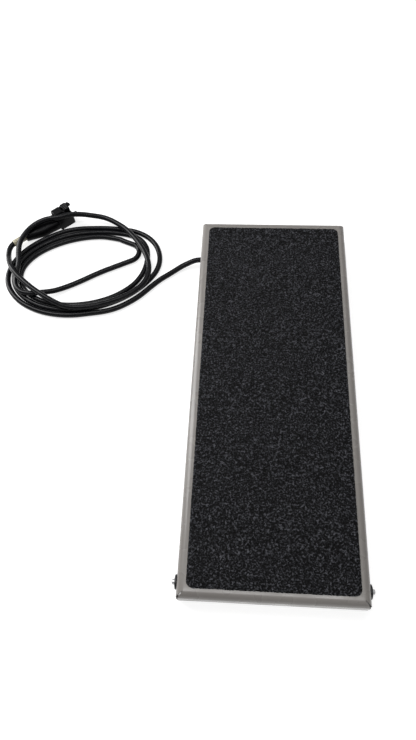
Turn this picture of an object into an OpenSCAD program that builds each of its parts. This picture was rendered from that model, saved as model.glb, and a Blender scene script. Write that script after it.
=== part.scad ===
// Treadle foot switch: a folded steel treadle, hinged at its heel over a shallow base
// tray, presses a snap-action switch whose cable ends in a latched plug.
// X points right, Y from heel to toe, Z up. The base stands on the plane z = 0.
// Treadle parts are drawn fully pressed, level with the floor, and raised() lifts them.

/* [Treadle] */
// Outside width of the treadle
tread_w = 130; // [120:1:150]
// Outside length of the treadle
tread_l = 326; // [316:1:350]
// Depth of the folded sides, from the top face to their lower edge
tread_h = 17.6; // [17:0.1:19]
// Sheet thickness of the treadle
tread_t = 1.5; // [1.2:0.1:2]
// Outside radius of the treadle's folds
fold_r = 5; // [4:0.5:6]
// Width of the open corner between two folds
corner_open = 2.6; // [1:0.1:3.5]
// Width of the slit between two sides below the open corner
corner_slit = 0.4; // [0.2:0.1:1]
// Reach of the stop lip turned in at the toe
lip_l = 4.5; // [4:0.1:5]
// Width of the stop lip
lip_w = 96; // [60:1:104]
// Outside radius of the stop lip's fold
lip_r = 2; // [2:0.1:3]

/* [Grip mat] */
// Bare border on the long sides
mat_side = 6.5; // [5:0.1:12]
// Bare border at the heel
mat_heel = 6.4; // [5:0.1:12]
// Bare border at the toe
mat_toe = 7; // [5:0.1:12]
// Thickness of the grip mat
mat_t = 1.2; // [0.8:0.1:2]
// Corner radius of the grip mat
mat_r = 5; // [2:0.5:12]

/* [Hinge] */
// Distance from the heel face to the hinge rod
hinge_setback = 11; // [10:0.5:14]
// Distance from the treadle's top face down to the hinge rod
hinge_drop = 9; // [8.6:0.1:9.6]
// Hinge rod diameter
rod_d = 4; // [3:0.1:5]
// Rod end that stands past its retainer
rod_tip = 2; // [1:0.1:4]
// Retainer diameter
retainer_d = 10; // [8:0.5:12]
// Retainer height over its dome
retainer_t = 2; // [1.4:0.1:2.6]
// Retainer sheet thickness
retainer_sheet = 0.5; // [0.3:0.1:0.8]
// Outside diameter of the hinge bush in its wall
bush_d = 7; // [6.4:0.1:7.6]
// Diameter of the hinge bush flange
bush_flange_d = 10; // [9:0.1:10.4]
// Thickness of the hinge bush flange
bush_flange_t = 1; // [0.6:0.1:1.2]
// Length of the hinge bush past the inside of its wall
bush_reach = 1.5; // [0.5:0.1:4]
// Radial clearance between the rod and what turns on it
running_gap = 0.05; // [0.02:0.01:0.1]

/* [Travel] */
// Tilt of the treadle at rest, in degrees
rest_tilt = 1.35; // [1:0.05:1.4]
// Gap between the floor and the treadle's lower edge when fully pressed
floor_gap = 1.5; // [1.2:0.1:2.5]
// Clearance at the stops
stop_gap = 0.15; // [0.1:0.05:0.4]

/* [Base] */
// Sheet thickness of the base
base_t = 1.5; // [1:0.1:1.8]
// Height of the base's folded walls over its underside
base_h = 14; // [13.6:0.1:14.4]
// Outside radius of the base's folds
base_r = 2; // [2:0.1:2.5]
// Gap between the base's side walls and the treadle's sides
side_gap = 1.5; // [1.4:0.1:2.5]
// Gap between the base's heel wall and the treadle
heel_gap = 2; // [1:0.1:3]
// Gap between the base's toe wall and the treadle
toe_gap = 5.5; // [5.3:0.1:7]
// Width of the stop tongue on the toe wall
tongue_w = 30; // [16:1:50]
// Width of the relief slots beside the tongue
tongue_slot = 2; // [1:0.1:4]
// Gap between the tongue's end and the treadle's toe side
tongue_end_gap = 1; // [0.8:0.1:1.6]
// Thickness of the rubber sheet under the base
pad_t = 1; // [0.8:0.1:1.2]
// Distance of the rubber sheet's edge from the base's sides
pad_inset = 3; // [2:0.5:8]
// Corner radius of the rubber sheet
pad_r = 8; // [2:0.5:15]

/* [Mounting nuts] */
// Distance between the mounting nuts across the base
nut_dx = 90; // [60:1:100]
// Distance from the treadle's heel and toe to the mounting nuts
nut_setback = 63; // [62:1:100]
// Thread bore of a mounting nut
nut_bore = 4.2; // [3.2:0.1:5]
// Diameter of a nut's body
nut_d = 9; // [8:0.5:11]
// Height of a nut over the base plate
nut_h = 4; // [2:0.5:6]
// Diameter of a nut's shank in the base plate
nut_shank = 6.4; // [6:0.1:7.4]
// Clearance round a nut's shank in the rubber sheet
nut_clear = 0.8; // [0.3:0.1:2]

/* [Springs and stops] */
// Distance of each return spring from the middle
spring_x = 36; // [30:1:44]
// Distance of the return springs from the toe
spring_setback = 48; // [44:1:56]
// Outside diameter of a return spring
spring_od = 12; // [10:0.5:14]
// Wire diameter of a return spring
spring_wire = 1.1; // [0.8:0.1:1.3]
// Number of turns of a return spring
spring_turns = 6; // [4:1:7]
// Diameter of a spring cup
cup_d = 16; // [15:0.5:18]
// Thickness of a spring cup's floor
cup_t = 1; // [0.6:0.1:2]
// Height of the bosses that centre a spring
boss_h = 3; // [1:0.5:3.5]
// Radial clearance between a spring and its boss
boss_gap = 0.5; // [0.2:0.1:1]
// Distance of each bump stop from the middle
bump_x = 44; // [36:1:52]
// Distance of the bump stops from the toe
bump_setback = 17; // [15.5:0.5:19]
// Diameter of a bump stop at its foot
bump_d = 10; // [7:0.5:11]
// Diameter of a bump stop at its top
bump_top_d = 7; // [5:0.5:9]
// Diameter of a bump stop's stem in the base plate
bump_stem = 5; // [3:0.5:6]

/* [Switch] */
// Middle of the switch from the base's middle line
switch_x = 6; // [0:1:12]
// Middle of the switch from the middle of the treadle
switch_y = 0; // [-15:1:15]
// Switch width
case_w = 6.4; // [6:0.1:8]
// Switch length
case_l = 19.8; // [18:0.1:22]
// Switch height
case_h = 9.5; // [9.3:0.1:9.7]
// Wall thickness of the switch
case_wall = 1; // [0.8:0.1:1.1]
// Gap under the switch
switch_lift = 0.5; // [0.3:0.1:0.6]
// Plunger diameter
plunger_d = 2.4; // [1.8:0.1:2.8]
// Diameter of the plunger's collar inside the switch
collar_d = 3.4; // [3:0.1:3.8]
// Distance from the lever's pivot to the plunger
plunger_arm = 5.1; // [4.8:0.1:5.4]
// Distance from the lever's pivot to the actuator
lever_arm = 20; // [19:0.5:24]
// Lever width
lever_w = 4.4; // [3.4:0.1:5]
// Lever thickness
lever_t = 0.4; // [0.3:0.1:0.6]
// Lever pin diameter
pin_d = 1; // [0.8:0.1:1.2]
// Distance from the switch's end to the lever's pivot
pivot_inset = 1.9; // [1.7:0.1:2.2]
// Distance from the switch's end to a fixing hole
fix_inset = 5.15; // [5:0.05:5.5]
// Diameter of the switch's fixing holes
fix_d = 2.4; // [2:0.1:2.5]
// Clearance of parts that slide or sit inside the switch
inner_gap = 0.1; // [0.05:0.01:0.15]
// Thickness of the snap blade
blade_t = 0.25; // [0.2:0.05:0.3]
// Width of the snap blade
blade_w = 1.8; // [1.4:0.1:2.4]
// Thickness of the terminals
terminal_t = 0.5; // [0.4:0.1:0.6]
// Length of the terminals outside the switch
terminal_l = 5; // [4:0.5:7]

/* [Actuator] */
// Diameter of the actuator cap under the treadle
cap_d = 9; // [6:0.5:9.5]
// Diameter of the stud that carries the cap
stud_d = 3; // [2:0.1:4]
// Length of the stud
stud_l = 3; // [2:0.1:3.4]
// Clearance between the cap and the switch lever at rest
cap_gap = 0.15; // [0.1:0.05:0.3]

/* [Bracket] */
// Sheet thickness of the switch bracket
bracket_t = 1.2; // [0.8:0.1:1.6]
// Width of the bracket's foot
bracket_foot = 12; // [10:0.5:16]
// Bracket length along the switch
bracket_l = 18; // [17:0.5:20]
// Diameter of the bracket's screws
foot_screw_d = 3; // [2.5:0.1:3.5]
// Distance between the bracket's screws
foot_screw_pitch = 10; // [8:0.5:11]

/* [Cable] */
// Cable diameter
cable_d = 5; // [4.6:0.1:5.2]
// Distance from the toe to the cable exit
exit_setback = 30; // [29:0.5:31]
// Height of the cable exit
exit_z = 7.5; // [7.2:0.1:7.8]
// Clearance round the cable in its grommet and clamp
cable_gap = 0.1; // [0.05:0.01:0.2]
// Outside diameter of the grommet's flanges
grommet_d = 9.4; // [8.8:0.1:9.8]
// Diameter of the grommet in the base wall
grommet_neck = 7.4; // [7:0.1:7.8]
// Thickness of the grommet's flanges
grommet_flange = 1; // [0.6:0.1:1.2]
// Length of the grommet's tapered sleeve inside the base
grommet_sleeve = 9; // [5:0.5:10]
// Clearance between the pressed treadle and the cable
notch_gap = 0.8; // [0.5:0.1:1.2]
// Strap width of the cable clamp
clamp_w = 8; // [6:0.5:10]
// Strap thickness of the cable clamp
clamp_t = 1; // [0.8:0.1:1.2]
// Diameter of the clamp's screw
clamp_screw_d = 3; // [2.5:0.1:3.5]
// Diameter of an insulated lead
lead_d = 1.6; // [1.2:0.1:1.8]

/* [Plug] */
// Length of the plug's boot
boot_l = 34; // [26:0.5:36]
// Width of the boot at the plug
boot_w = 14.8; // [12:0.2:16]
// Height of the boot at the plug
boot_h = 11; // [10:0.5:11.8]
// Length of the plug body
plug_l = 16.5; // [15:0.5:20]
// Width of the plug body
plug_w = 16.4; // [16:0.2:20]
// Height of the plug body
plug_h = 12; // [12:0.5:14]
// Wall of the plug's hood
hood_t = 1.5; // [1:0.1:1.8]
// Gap between the hood and the nose inside it
hood_gap = 1.6; // [1.3:0.1:1.8]
// Depth of the gap round the nose
hood_depth = 8; // [6:0.5:10]
// Number of contacts in the plug
contact_n = 3; // [2:1:3]
// Distance between two contacts
contact_pitch = 3; // [2.6:0.1:3.2]
// Side of a square contact
contact_s = 1.6; // [1.2:0.1:1.8]
// Width of the latch
latch_w = 8.5; // [8:0.5:9]
// Height of the latch over the plug body
latch_h = 4; // [3.6:0.1:5]
// Wall of the latch
latch_t = 1.5; // [1:0.1:1.6]
// Length of the sleeve on the cable behind the boot
sleeve_l = 13; // [8:0.5:16]
// Wall of the sleeve
sleeve_t = 0.6; // [0.3:0.1:1]

/* [Hidden] */
$fn = 64;
eps = 0.01;

// Treadle, pressed level
top_z = floor_gap + tread_h;
under_z = top_z - tread_t;
side_x = tread_w / 2;
heel_y = -tread_l / 2;
toe_y = tread_l / 2;
hinge_y = heel_y + hinge_setback;
hinge_z = top_z - hinge_drop;

// Base
nut_dy = tread_l - 2 * nut_setback;
plate_z = pad_t;
floor_z = plate_z + base_t;
wall_z = plate_z + base_h;
base_x = side_x - tread_t - side_gap;
base_heel_y = heel_y + tread_t + heel_gap;
base_toe_y = toe_y - tread_t - toe_gap;
base_mid_y = (base_heel_y + base_toe_y) / 2;
base_l = base_toe_y - base_heel_y;

// Rise of a treadle point at rest over its pressed height, for a point at y
function rise(y) = (y - hinge_y) * sin(rest_tilt);

// Stops
lip_top_z = floor_gap + tread_t;
tongue_z = hinge_z + (lip_top_z - hinge_z) * cos(rest_tilt)
    + rise(toe_y - tread_t) + stop_gap;
bump_y = toe_y - bump_setback;
spring_y = toe_y - spring_setback;
spring_r = (spring_od - spring_wire) / 2;
spring_foot_z = floor_z + cup_t;
boss_d = spring_od - 2 * spring_wire - 2 * boss_gap;

// Switch, whose lever follows the actuator cap
fix_pitch = case_l - 2 * fix_inset;
switch_z = floor_z + switch_lift;
switch_top = switch_z + case_h;
pivot_y = switch_y - case_l / 2 + pivot_inset;
knuckle_d = pin_d + 2 * running_gap + 2 * lever_t;
pin_z = switch_top + knuckle_d / 2 + inner_gap;
plunger_y = pivot_y + plunger_arm;
cap_y = pivot_y + lever_arm;
lever_tilt = rest_tilt * (cap_y - hinge_y) / lever_arm;
plunger_lift = plunger_arm * sin(lever_tilt);
plunger_low = 0.2;
plunger_top = switch_top + plunger_low;
lever_z = plunger_top + inner_gap;
cap_z = lever_z + lever_t + cap_gap;
ear_t = 0.7;
cap_flat = 1;

// Inside of the switch
cavity_z = switch_z + case_wall;
cavity_top = switch_top - case_wall;
cavity_w = case_w - 2 * case_wall;
cavity_l = case_l - 2 * case_wall;
blade_pivot_y = switch_y + cavity_l / 2 - 1.3;
blade_tip_y = switch_y - cavity_l / 2 + 1.9;
blade_z = cavity_top - 2;
contact_d = 1.8;
contact_h = 0.5;
blade_drop = plunger_lift * (blade_pivot_y - blade_tip_y) / (blade_pivot_y - plunger_y);
terminal_w = 2;
common_y = switch_y + cavity_l / 2 - terminal_w / 2 - 0.2;
open_y = switch_y;
closed_y = switch_y - cavity_l / 2 + terminal_w / 2 + 0.1;
case_x = switch_x - case_w / 2;
cover_x = switch_x + case_w / 2 - case_wall;
bracket_x = switch_x + case_w / 2;
fix_z = switch_z + 1.9;
fix_boss = fix_d + 1;
foot_screw_x = bracket_x + bracket_t + 5.4;

// Cable exit and the cable's run inside the base
exit_y = toe_y - exit_setback;
exit_x = -base_x - grommet_flange;
tail_x = -14;
tail_end_y = 42;
run_z = floor_z + cable_d / 2 + cable_gap;
clamp_y = 92;
lead_offset = 1.3;

// Plug: it lies on the floor, its axis turned from X
plug_at = [-238, 156.8];
plug_turn = 43;
axis_z = 5.5;
neck_shift = 3.5;
neck_at = plug_at + neck_shift * [-sin(plug_turn), cos(plug_turn)];
sleeve_at = neck_at - sleeve_l * [cos(plug_turn), sin(plug_turn)];

// Free cable: route points from the grommet to the sleeve, each a hand-picked place
lead_route = [
    [exit_x, exit_y, exit_z], [-66.5, exit_y, exit_z - 0.1], [-71.5, 132.6, 6.7],
    [-77.5, 130.9, 5], [-84.5, 127.5, 3.5], [-93.5, 120.5, 2.7], [-103, 112.6, 2.6],
    [-112, 103, 2.6], [-120, 94, 2.6], [-128.4, 86.8, 2.6], [-138.5, 80.3, 2.6],
    [-149.5, 76, 2.6]
];
chord_route = [
    [-148.5, 160.7, 2.6], [-141, 157.4, 2.6], [-134.5, 154.2, 2.6], [-129.2, 150.9, 2.6],
    [-126, 145.6, 2.6], [-126.4, 139.4, 2.6], [-130.8, 134.9, 2.6], [-138, 131.4, 2.6],
    [-147, 126.7, 2.6], [-156, 121.6, 2.6], [-166, 115.6, 2.6], [-178, 107.9, 2.6],
    [-189, 101.7, 2.8], [-200, 96.2, 4.4], [-211.3, 92, 7], [-221, 90.3, 7.8],
    [-229, 92, 7.8], [-234.8, 97.8, 7.8], [-237.2, 106, 7.8], [-237.8, 116, 7.8],
    [-239, 127, 8], [-240.8, 137, 9], [-240.4, 147, 10.8], [-236, 157, 12.2],
    [-229, 166.5, 13.2], [-219.6, 172.6, 14.3], [-208.3, 175.5, 14.9],
    [-199.4, 180, 14.8], [-189, 183.9, 12], [-177, 185.5, 8.8], [-164, 183.5, 7.8],
    [-152, 177.2, 7.8], [-141, 168.9, 7.8], [-132, 159, 7.8], [-124.6, 148.8, 7.8],
    [-118.8, 138.5, 7.8], [-115, 128, 7.8], [-113.8, 118, 7.8], [-115.6, 108, 7.8],
    [-121.5, 99, 7.8], [-131, 91.6, 7.8], [-143, 85.2, 7.8], [-157, 80, 7.8]
];
end_route = [
    [-157, 80, 7.8], [-168, 77.5, 7.8], [-180, 77, 8], [-189, 78, 9.4],
    [-198.4, 81.3, 11.4], [-208.4, 86.8, 12.8], [-217.3, 92.7, 13.1], [-226.3, 99.6, 13.2],
    [-234.6, 107.2, 13.2], [-241.6, 115.7, 12.4], [-247, 125, 9.2],
    [-251.2, 132.8, 6.4], [-252.8, 138.5, 5.6], [-253.1, 144.2, 5.5],
    [sleeve_at[0], sleeve_at[1], axis_z], [neck_at[0], neck_at[1], axis_z]
];

// Turns that lie on the floor: a flat oval ring, its long axis turned a little
coil_mid = [-176.5, 123.7];
coil_a = 75;
coil_b = 55;
coil_wide = 22;
coil_tall = cable_d + 0.2;
coil_turn = 12;

// ---- shared shapes ----

// Lifts parts of the pressed treadle to their rest position about the hinge
module raised() {
    translate([0, hinge_y, hinge_z]) rotate([rest_tilt, 0, 0])
        translate([0, -hinge_y, -hinge_z]) children();
}

// Cylinder along X from x to x + l
module rod_x(d, l) {
    rotate([0, 90, 0]) cylinder(d = d, h = l);
}

// Flat block with round upright corners, centred on Z, standing on z = 0
module rounded_block(x, y, z, r) {
    linear_extrude(z) union() {
        square([x - 2 * r, y], center = true);
        square([x, y - 2 * r], center = true);
        for (sx = [-1, 1], sy = [-1, 1])
            translate([sx * (x / 2 - r), sy * (y / 2 - r)]) circle(r);
    }
}

// Outline of one fold: x outward from the fold line, y down from the sheet's face
module fold_outline(h, t, r) {
    difference() {
        intersection() {
            translate([0, -r]) circle(r);
            translate([0, -r]) square(r);
        }
        translate([0, -r]) circle(r - t);
    }
    translate([r - t, -h]) square([t, h - r]);
}

// One folded side, with its ends cut back so that the corners stay open
module folded_side(l, h, t, r, open, slit, open_h) {
    cut = [[open, -open_h, 0], [slit, -h, -open_h]];
    for (c = cut)
        intersection() {
            rotate([90, 0, 0]) linear_extrude(l + 2 * r, center = true)
                fold_outline(h, t, r);
            translate([0, 0, c[1]]) linear_extrude(c[2] - c[1]) polygon([
                [0, -l / 2], [r, -l / 2 - r + c[0]],
                [r, l / 2 + r - c[0]], [0, l / 2]
            ]);
        }
}

// Sheet folded down on four sides, top face at z = 0
module folded_tray(w, l, h, t, r, open, slit, open_h) {
    flat_w = w - 2 * r;
    flat_l = l - 2 * r;
    translate([-flat_w / 2, -flat_l / 2, -t]) cube([flat_w, flat_l, t]);
    for (a = [0, 180]) {
        rotate([0, 0, a]) translate([flat_w / 2, 0, 0])
            folded_side(flat_l, h, t, r, open, slit, open_h);
        rotate([0, 0, a + 90]) translate([flat_l / 2, 0, 0])
            folded_side(flat_w, h, t, r, open, slit, open_h);
    }
}

function unit(v) = v / norm(v);
function heading(p, i) = unit(p[min(i + 1, len(p) - 1)] - p[max(i - 1, 0)]);
function tube_ring(p, i, r, sides) =
    let (t = heading(p, i), s = unit(cross([0, 0, 1], t)), n = cross(t, s))
    [for (k = [0 : sides - 1]) p[i] + r * (cos(360 * k / sides) * s + sin(360 * k / sides) * n)];

// Round tube of n sides along route points
module tube(p, d, sides) {
    last = (len(p) - 1) * sides;
    polyhedron(
        points = [for (i = [0 : len(p) - 1]) each tube_ring(p, i, d / 2, sides)],
        faces = concat(
            [[for (k = [0 : sides - 1]) k]],
            [for (i = [0 : len(p) - 2], k = [0 : sides - 1]) let (
                a = i * sides + k, b = i * sides + (k + 1) % sides
            ) each [[a, a + sides, b + sides], [a, b + sides, b]]],
            [[for (k = [0 : sides - 1]) last + sides - 1 - k]]
        )
    );
}

// Height of a coil spring's wire after f turns, its end turns lying flat
function spring_rise(f) =
    min(max((f - 0.7) / (spring_turns - 1.4), 0), 1);

// ---- treadle ----

module treadle_tray() {
    color("#a9a49c") raised() difference() {
        union() {
            translate([0, 0, top_z])
                folded_tray(tread_w, tread_l, tread_h, tread_t, fold_r,
                    corner_open, corner_slit, fold_r + 3);
            stop_lip();
        }
        translate([-side_x - eps, hinge_y, hinge_z])
            rod_x(rod_d + 2 * running_gap, tread_w + 2 * eps);
        lip_clearance();
        cable_notch();
    }
}

// Lip folded in at the toe, which catches the base's tongue
module stop_lip() {
    translate([-lip_w / 2, toe_y, floor_gap]) rotate([90, 0, 90])
        linear_extrude(lip_w) union() {
            difference() {
                intersection() {
                    translate([-lip_r, lip_r]) circle(lip_r);
                    translate([-lip_r, 0]) square(lip_r);
                }
                translate([-lip_r, lip_r]) circle(lip_r - tread_t);
            }
            translate([-tread_t - lip_l, 0]) square([tread_t + lip_l - lip_r + eps, tread_t]);
        }
}

// Takes the square lower edge of the toe side away in front of the lip's fold
module lip_clearance() {
    difference() {
        translate([-lip_w / 2, toe_y - lip_r, floor_gap - eps])
            cube([lip_w, lip_r + eps, lip_r + eps]);
        translate([-lip_w / 2 - eps, toe_y - lip_r, floor_gap + lip_r])
            rod_x(2 * lip_r, lip_w + 2 * eps);
    }
}

// Slot in the left side that drops over the cable when the treadle is pressed
module cable_notch() {
    notch_w = cable_d + 4 * notch_gap;
    notch_top = exit_z + cable_d / 2 + notch_gap;
    translate([-side_x - eps, exit_y, notch_top - notch_w / 2]) {
        rod_x(notch_w, tread_t + 2 * eps);
        translate([0, -notch_w / 2, -tread_h]) cube([tread_t + 2 * eps, notch_w, tread_h]);
    }
}

module grip_mat() {
    mat_l = tread_l - mat_heel - mat_toe;
    color("#232325") raised()
        translate([0, heel_y + mat_heel + mat_l / 2, top_z])
            rounded_block(tread_w - 2 * mat_side, mat_l, mat_t, mat_r);
}

module hinge_rod() {
    chamfer = 0.5;
    half = side_x + retainer_t + rod_tip;
    color("#c8c8ca") translate([0, hinge_y, hinge_z]) rotate([0, 90, 0])
        rotate_extrude() polygon([
            [0, -half], [rod_d / 2 - chamfer, -half], [rod_d / 2, -half + chamfer],
            [rod_d / 2, half - chamfer], [rod_d / 2 - chamfer, half], [0, half]
        ]);
}

// Domed push-on cap washer whose inner edge grips the rod, rim on z = 0
module retainer() {
    collar = rod_d / 2 + running_gap;
    rim = retainer_d / 2;
    rotate_extrude() polygon([
        [rim - retainer_sheet, 0], [rim, 0], [rim, retainer_t * 0.45],
        [rim * 0.75, retainer_t * 0.8], [rim * 0.55, retainer_t], [collar, retainer_t],
        [collar, retainer_t * 0.35], [collar + retainer_sheet, retainer_t * 0.35],
        [collar + retainer_sheet, retainer_t - retainer_sheet],
        [rim * 0.5, retainer_t - retainer_sheet],
        [rim * 0.68, retainer_t * 0.8 - retainer_sheet],
        [rim - retainer_sheet, retainer_t * 0.4]
    ]);
}

module rod_retainer_left() {
    color("#1c1c1e") raised() translate([-side_x, hinge_y, hinge_z])
        rotate([0, -90, 0]) retainer();
}

module rod_retainer_right() {
    color("#1c1c1e") raised() translate([side_x, hinge_y, hinge_z])
        rotate([0, 90, 0]) retainer();
}

module actuator_stud() {
    weld_d = stud_d + 1.6;
    weld_t = 0.6;
    color("#b0b0b2") raised() translate([switch_x, cap_y, under_z]) {
        translate([0, 0, -weld_t]) cylinder(d = weld_d, h = weld_t);
        translate([0, 0, -stud_l]) cylinder(d = stud_d, h = stud_l);
    }
}

module actuator_cap() {
    weld_d = stud_d + 1.6;
    weld_t = 0.6;
    h = under_z - cap_z;
    color("#e8e4d8") raised() translate([switch_x, cap_y, cap_z]) difference() {
        rotate_extrude() polygon([
            [0, 0], [cap_flat / 2, 0], [cap_d * 0.3, 0.7], [cap_d * 0.45, 1.7],
            [cap_d / 2, 2.6], [cap_d / 2, h], [0, h]
        ]);
        translate([0, 0, h - stud_l - 0.2])
            cylinder(d = stud_d + 2 * running_gap, h = stud_l + 1);
        translate([0, 0, h - weld_t]) cylinder(d = weld_d + 2 * running_gap, h = 1);
    }
}

module spring_bosses() {
    color("#b0b0b2") raised() for (sx = [-1, 1])
        translate([sx * spring_x, spring_y, under_z - boss_h])
            cylinder(d1 = boss_d - 2, d2 = boss_d, h = boss_h);
}

// ---- base ----

module base_tray() {
    color("#8d8f92") difference() {
        union() {
            translate([0, base_mid_y, plate_z]) rotate([180, 0, 0])
                folded_tray(2 * base_x, base_l, base_h, base_t, base_r,
                    corner_slit, corner_slit, base_r);
            stop_tongue();
        }
        translate([0, base_toe_y, 0]) tongue_window();
        translate([-base_x - eps, hinge_y, hinge_z])
            rod_x(bush_d + 2 * running_gap, 2 * base_x + 2 * eps);
        translate([-base_x - eps, exit_y, exit_z])
            rod_x(grommet_neck + 2 * running_gap, base_t + 2 * eps);
        at_nuts() translate([0, 0, plate_z - eps])
            cylinder(d = nut_shank + 2 * running_gap, h = base_t + 2 * eps);
        at_bumps() translate([0, 0, plate_z - eps])
            cylinder(d = bump_stem + 2 * running_gap, h = base_t + 2 * eps);
        at_bracket_screws() translate([0, 0, plate_z - eps])
            cylinder(d = foot_screw_d + 2 * running_gap, h = base_t + 2 * eps);
        at_clamp_screw() translate([0, 0, plate_z - eps])
            cylinder(d = clamp_screw_d + 2 * running_gap, h = base_t + 2 * eps);
    }
}

// Part of the toe wall that is folded outward over the treadle's lip
module stop_tongue() {
    reach = toe_gap - tongue_end_gap;
    translate([-tongue_w / 2, base_toe_y - base_t, tongue_z])
        cube([tongue_w, base_t + reach, base_t]);
}

// Clears the toe wall above and beside the tongue
module tongue_window() {
    open_w = tongue_w + 2 * tongue_slot;
    translate([-open_w / 2, -base_t - eps, tongue_z + base_t])
        cube([open_w, base_t + 2 * eps, base_h]);
    for (sx = [-1, 1])
        translate([sx * (tongue_w + tongue_slot) / 2, -base_t / 2, tongue_z])
            translate([-tongue_slot / 2, -base_t / 2 - eps, -tongue_slot])
                cube([tongue_slot, base_t + 2 * eps, base_h]);
}

module at_nuts() {
    for (sx = [-1, 1], sy = [-1, 1])
        translate([sx * nut_dx / 2, sy * nut_dy / 2, 0]) children();
}

module at_bumps() {
    for (sx = [-1, 1]) translate([sx * bump_x, bump_y, 0]) children();
}

module at_bracket_screws() {
    for (sy = [-1, 1])
        translate([foot_screw_x, switch_y + sy * foot_screw_pitch / 2, 0])
            children();
}

module at_clamp_screw() {
    translate([tail_x + cable_d / 2 + cable_gap + clamp_t + 4, clamp_y, 0]) children();
}

module base_pad() {
    color("#2b2b2d") difference() {
        translate([0, base_mid_y, 0]) rounded_block(2 * (base_x - pad_inset),
            base_l - 2 * pad_inset, pad_t, pad_r);
        at_nuts() translate([0, 0, -eps])
            cylinder(d = nut_shank + 2 * nut_clear, h = pad_t + 2 * eps);
    }
}

// Flanged bush, flange on the wall's outside, sleeve pointing inward along -Z
module hinge_bush() {
    bore = rod_d / 2 + running_gap;
    rotate_extrude() polygon([
        [bore, -base_t - bush_reach], [bush_d / 2, -base_t - bush_reach], [bush_d / 2, 0],
        [bush_flange_d / 2, 0], [bush_flange_d / 2, bush_flange_t], [bore, bush_flange_t]
    ]);
}

module hinge_bush_left() {
    color("#e6e2d6") translate([-base_x, hinge_y, hinge_z]) rotate([0, -90, 0]) hinge_bush();
}

module hinge_bush_right() {
    color("#e6e2d6") translate([base_x, hinge_y, hinge_z]) rotate([0, 90, 0]) hinge_bush();
}

module mounting_nuts() {
    flange_t = 1;
    color("#c2c2c0") at_nuts() difference() {
        union() {
            translate([0, 0, plate_z]) cylinder(d = nut_shank, h = base_t + eps);
            translate([0, 0, floor_z]) cylinder(d = nut_d, h = nut_h);
            translate([0, 0, floor_z]) cylinder(d = nut_d + 2, h = flange_t);
        }
        translate([0, 0, plate_z - eps]) cylinder(d = nut_bore, h = base_t + nut_h + 1);
    }
}

// Coil spring with flat end turns, from its cup to the raised treadle
module return_spring(sx) {
    steps = 14 * spring_turns;
    tall = hinge_z + (under_z - hinge_z) * cos(rest_tilt)
        + rise(spring_y - spring_od / 2) - stop_gap - spring_foot_z;
    color("#c9c9cb") translate([sx * spring_x, spring_y, spring_foot_z])
        tube([for (i = [0 : steps]) let (f = i * spring_turns / steps) [
            spring_r * cos(360 * f), spring_r * sin(360 * f),
            spring_wire / 2 + (tall - spring_wire) * spring_rise(f)
        ]], spring_wire, 6);
}

module return_spring_left() {
    return_spring(-1);
}

module return_spring_right() {
    return_spring(1);
}

module spring_cups() {
    rim_h = 2.4;
    rim_t = 1;
    color("#2a2a2c") for (sx = [-1, 1])
        translate([sx * spring_x, spring_y, floor_z]) {
            cylinder(d = cup_d, h = cup_t);
            cylinder(d = boss_d, h = cup_t + boss_h);
            difference() {
                cylinder(d = cup_d, h = cup_t + rim_h);
                translate([0, 0, cup_t]) cylinder(d = cup_d - 2 * rim_t, h = rim_h + eps);
            }
        }
}

module bump_stops() {
    color("#29292b") at_bumps() {
        translate([0, 0, plate_z]) cylinder(d = bump_stem, h = base_t + 1);
        translate([0, 0, floor_z])
            cylinder(d1 = bump_d, d2 = bump_top_d, h = under_z - stop_gap - floor_z);
    }
}

// ---- switch ----

module fixing_holes(x, l) {
    for (sy = [-1, 1])
        translate([x - eps, switch_y + sy * fix_pitch / 2, fix_z])
            rod_x(fix_d, l + 2 * eps);
}

// Open box of the switch, its open side covered by switch_cover
module switch_case() {
    body_w = case_w - case_wall;
    color("#1d1f24") difference() {
        union() {
            difference() {
                translate([case_x, switch_y - case_l / 2, switch_z])
                    cube([body_w, case_l, case_h]);
                translate([case_x + case_wall, switch_y - cavity_l / 2, cavity_z])
                    cube([body_w, cavity_l, cavity_top - cavity_z]);
            }
            for (sy = [-1, 1])
                translate([case_x + case_wall - eps, switch_y + sy * fix_pitch / 2, fix_z])
                    rod_x(fix_boss, cavity_w + eps);
            pivot_ears();
        }
        fixing_holes(case_x, case_w);
        translate([switch_x, plunger_y, cavity_top - eps])
            cylinder(d = plunger_d + 2 * running_gap, h = case_wall + 2 * eps);
        for (y = [common_y, open_y, closed_y])
            translate([case_x - eps, y - terminal_w / 2 - running_gap,
                       cavity_z - running_gap])
                cube([case_wall + 2 * eps, terminal_w + 2 * running_gap,
                      terminal_t + 2 * running_gap]);
    }
}

// Two ears on the switch that hold the lever's pin
module pivot_ears() {
    gap = lever_w / 2 - lever_t - inner_gap - ear_t;
    for (sx = [-1, 1])
        translate([switch_x + sx * (gap + ear_t / 2) - ear_t / 2, 0, 0]) difference() {
            union() {
                translate([0, pivot_y - 1.2, switch_top - eps])
                    cube([ear_t, 2.4, pin_z - switch_top]);
                translate([0, pivot_y, pin_z]) rod_x(2.4, ear_t);
            }
            translate([-eps, pivot_y, pin_z]) rod_x(pin_d + 2 * running_gap, ear_t + 2 * eps);
        }
}

module switch_cover() {
    color("#24262c") difference() {
        translate([cover_x, switch_y - case_l / 2, switch_z])
            cube([case_wall, case_l, case_h]);
        fixing_holes(cover_x, case_wall);
    }
}

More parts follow.
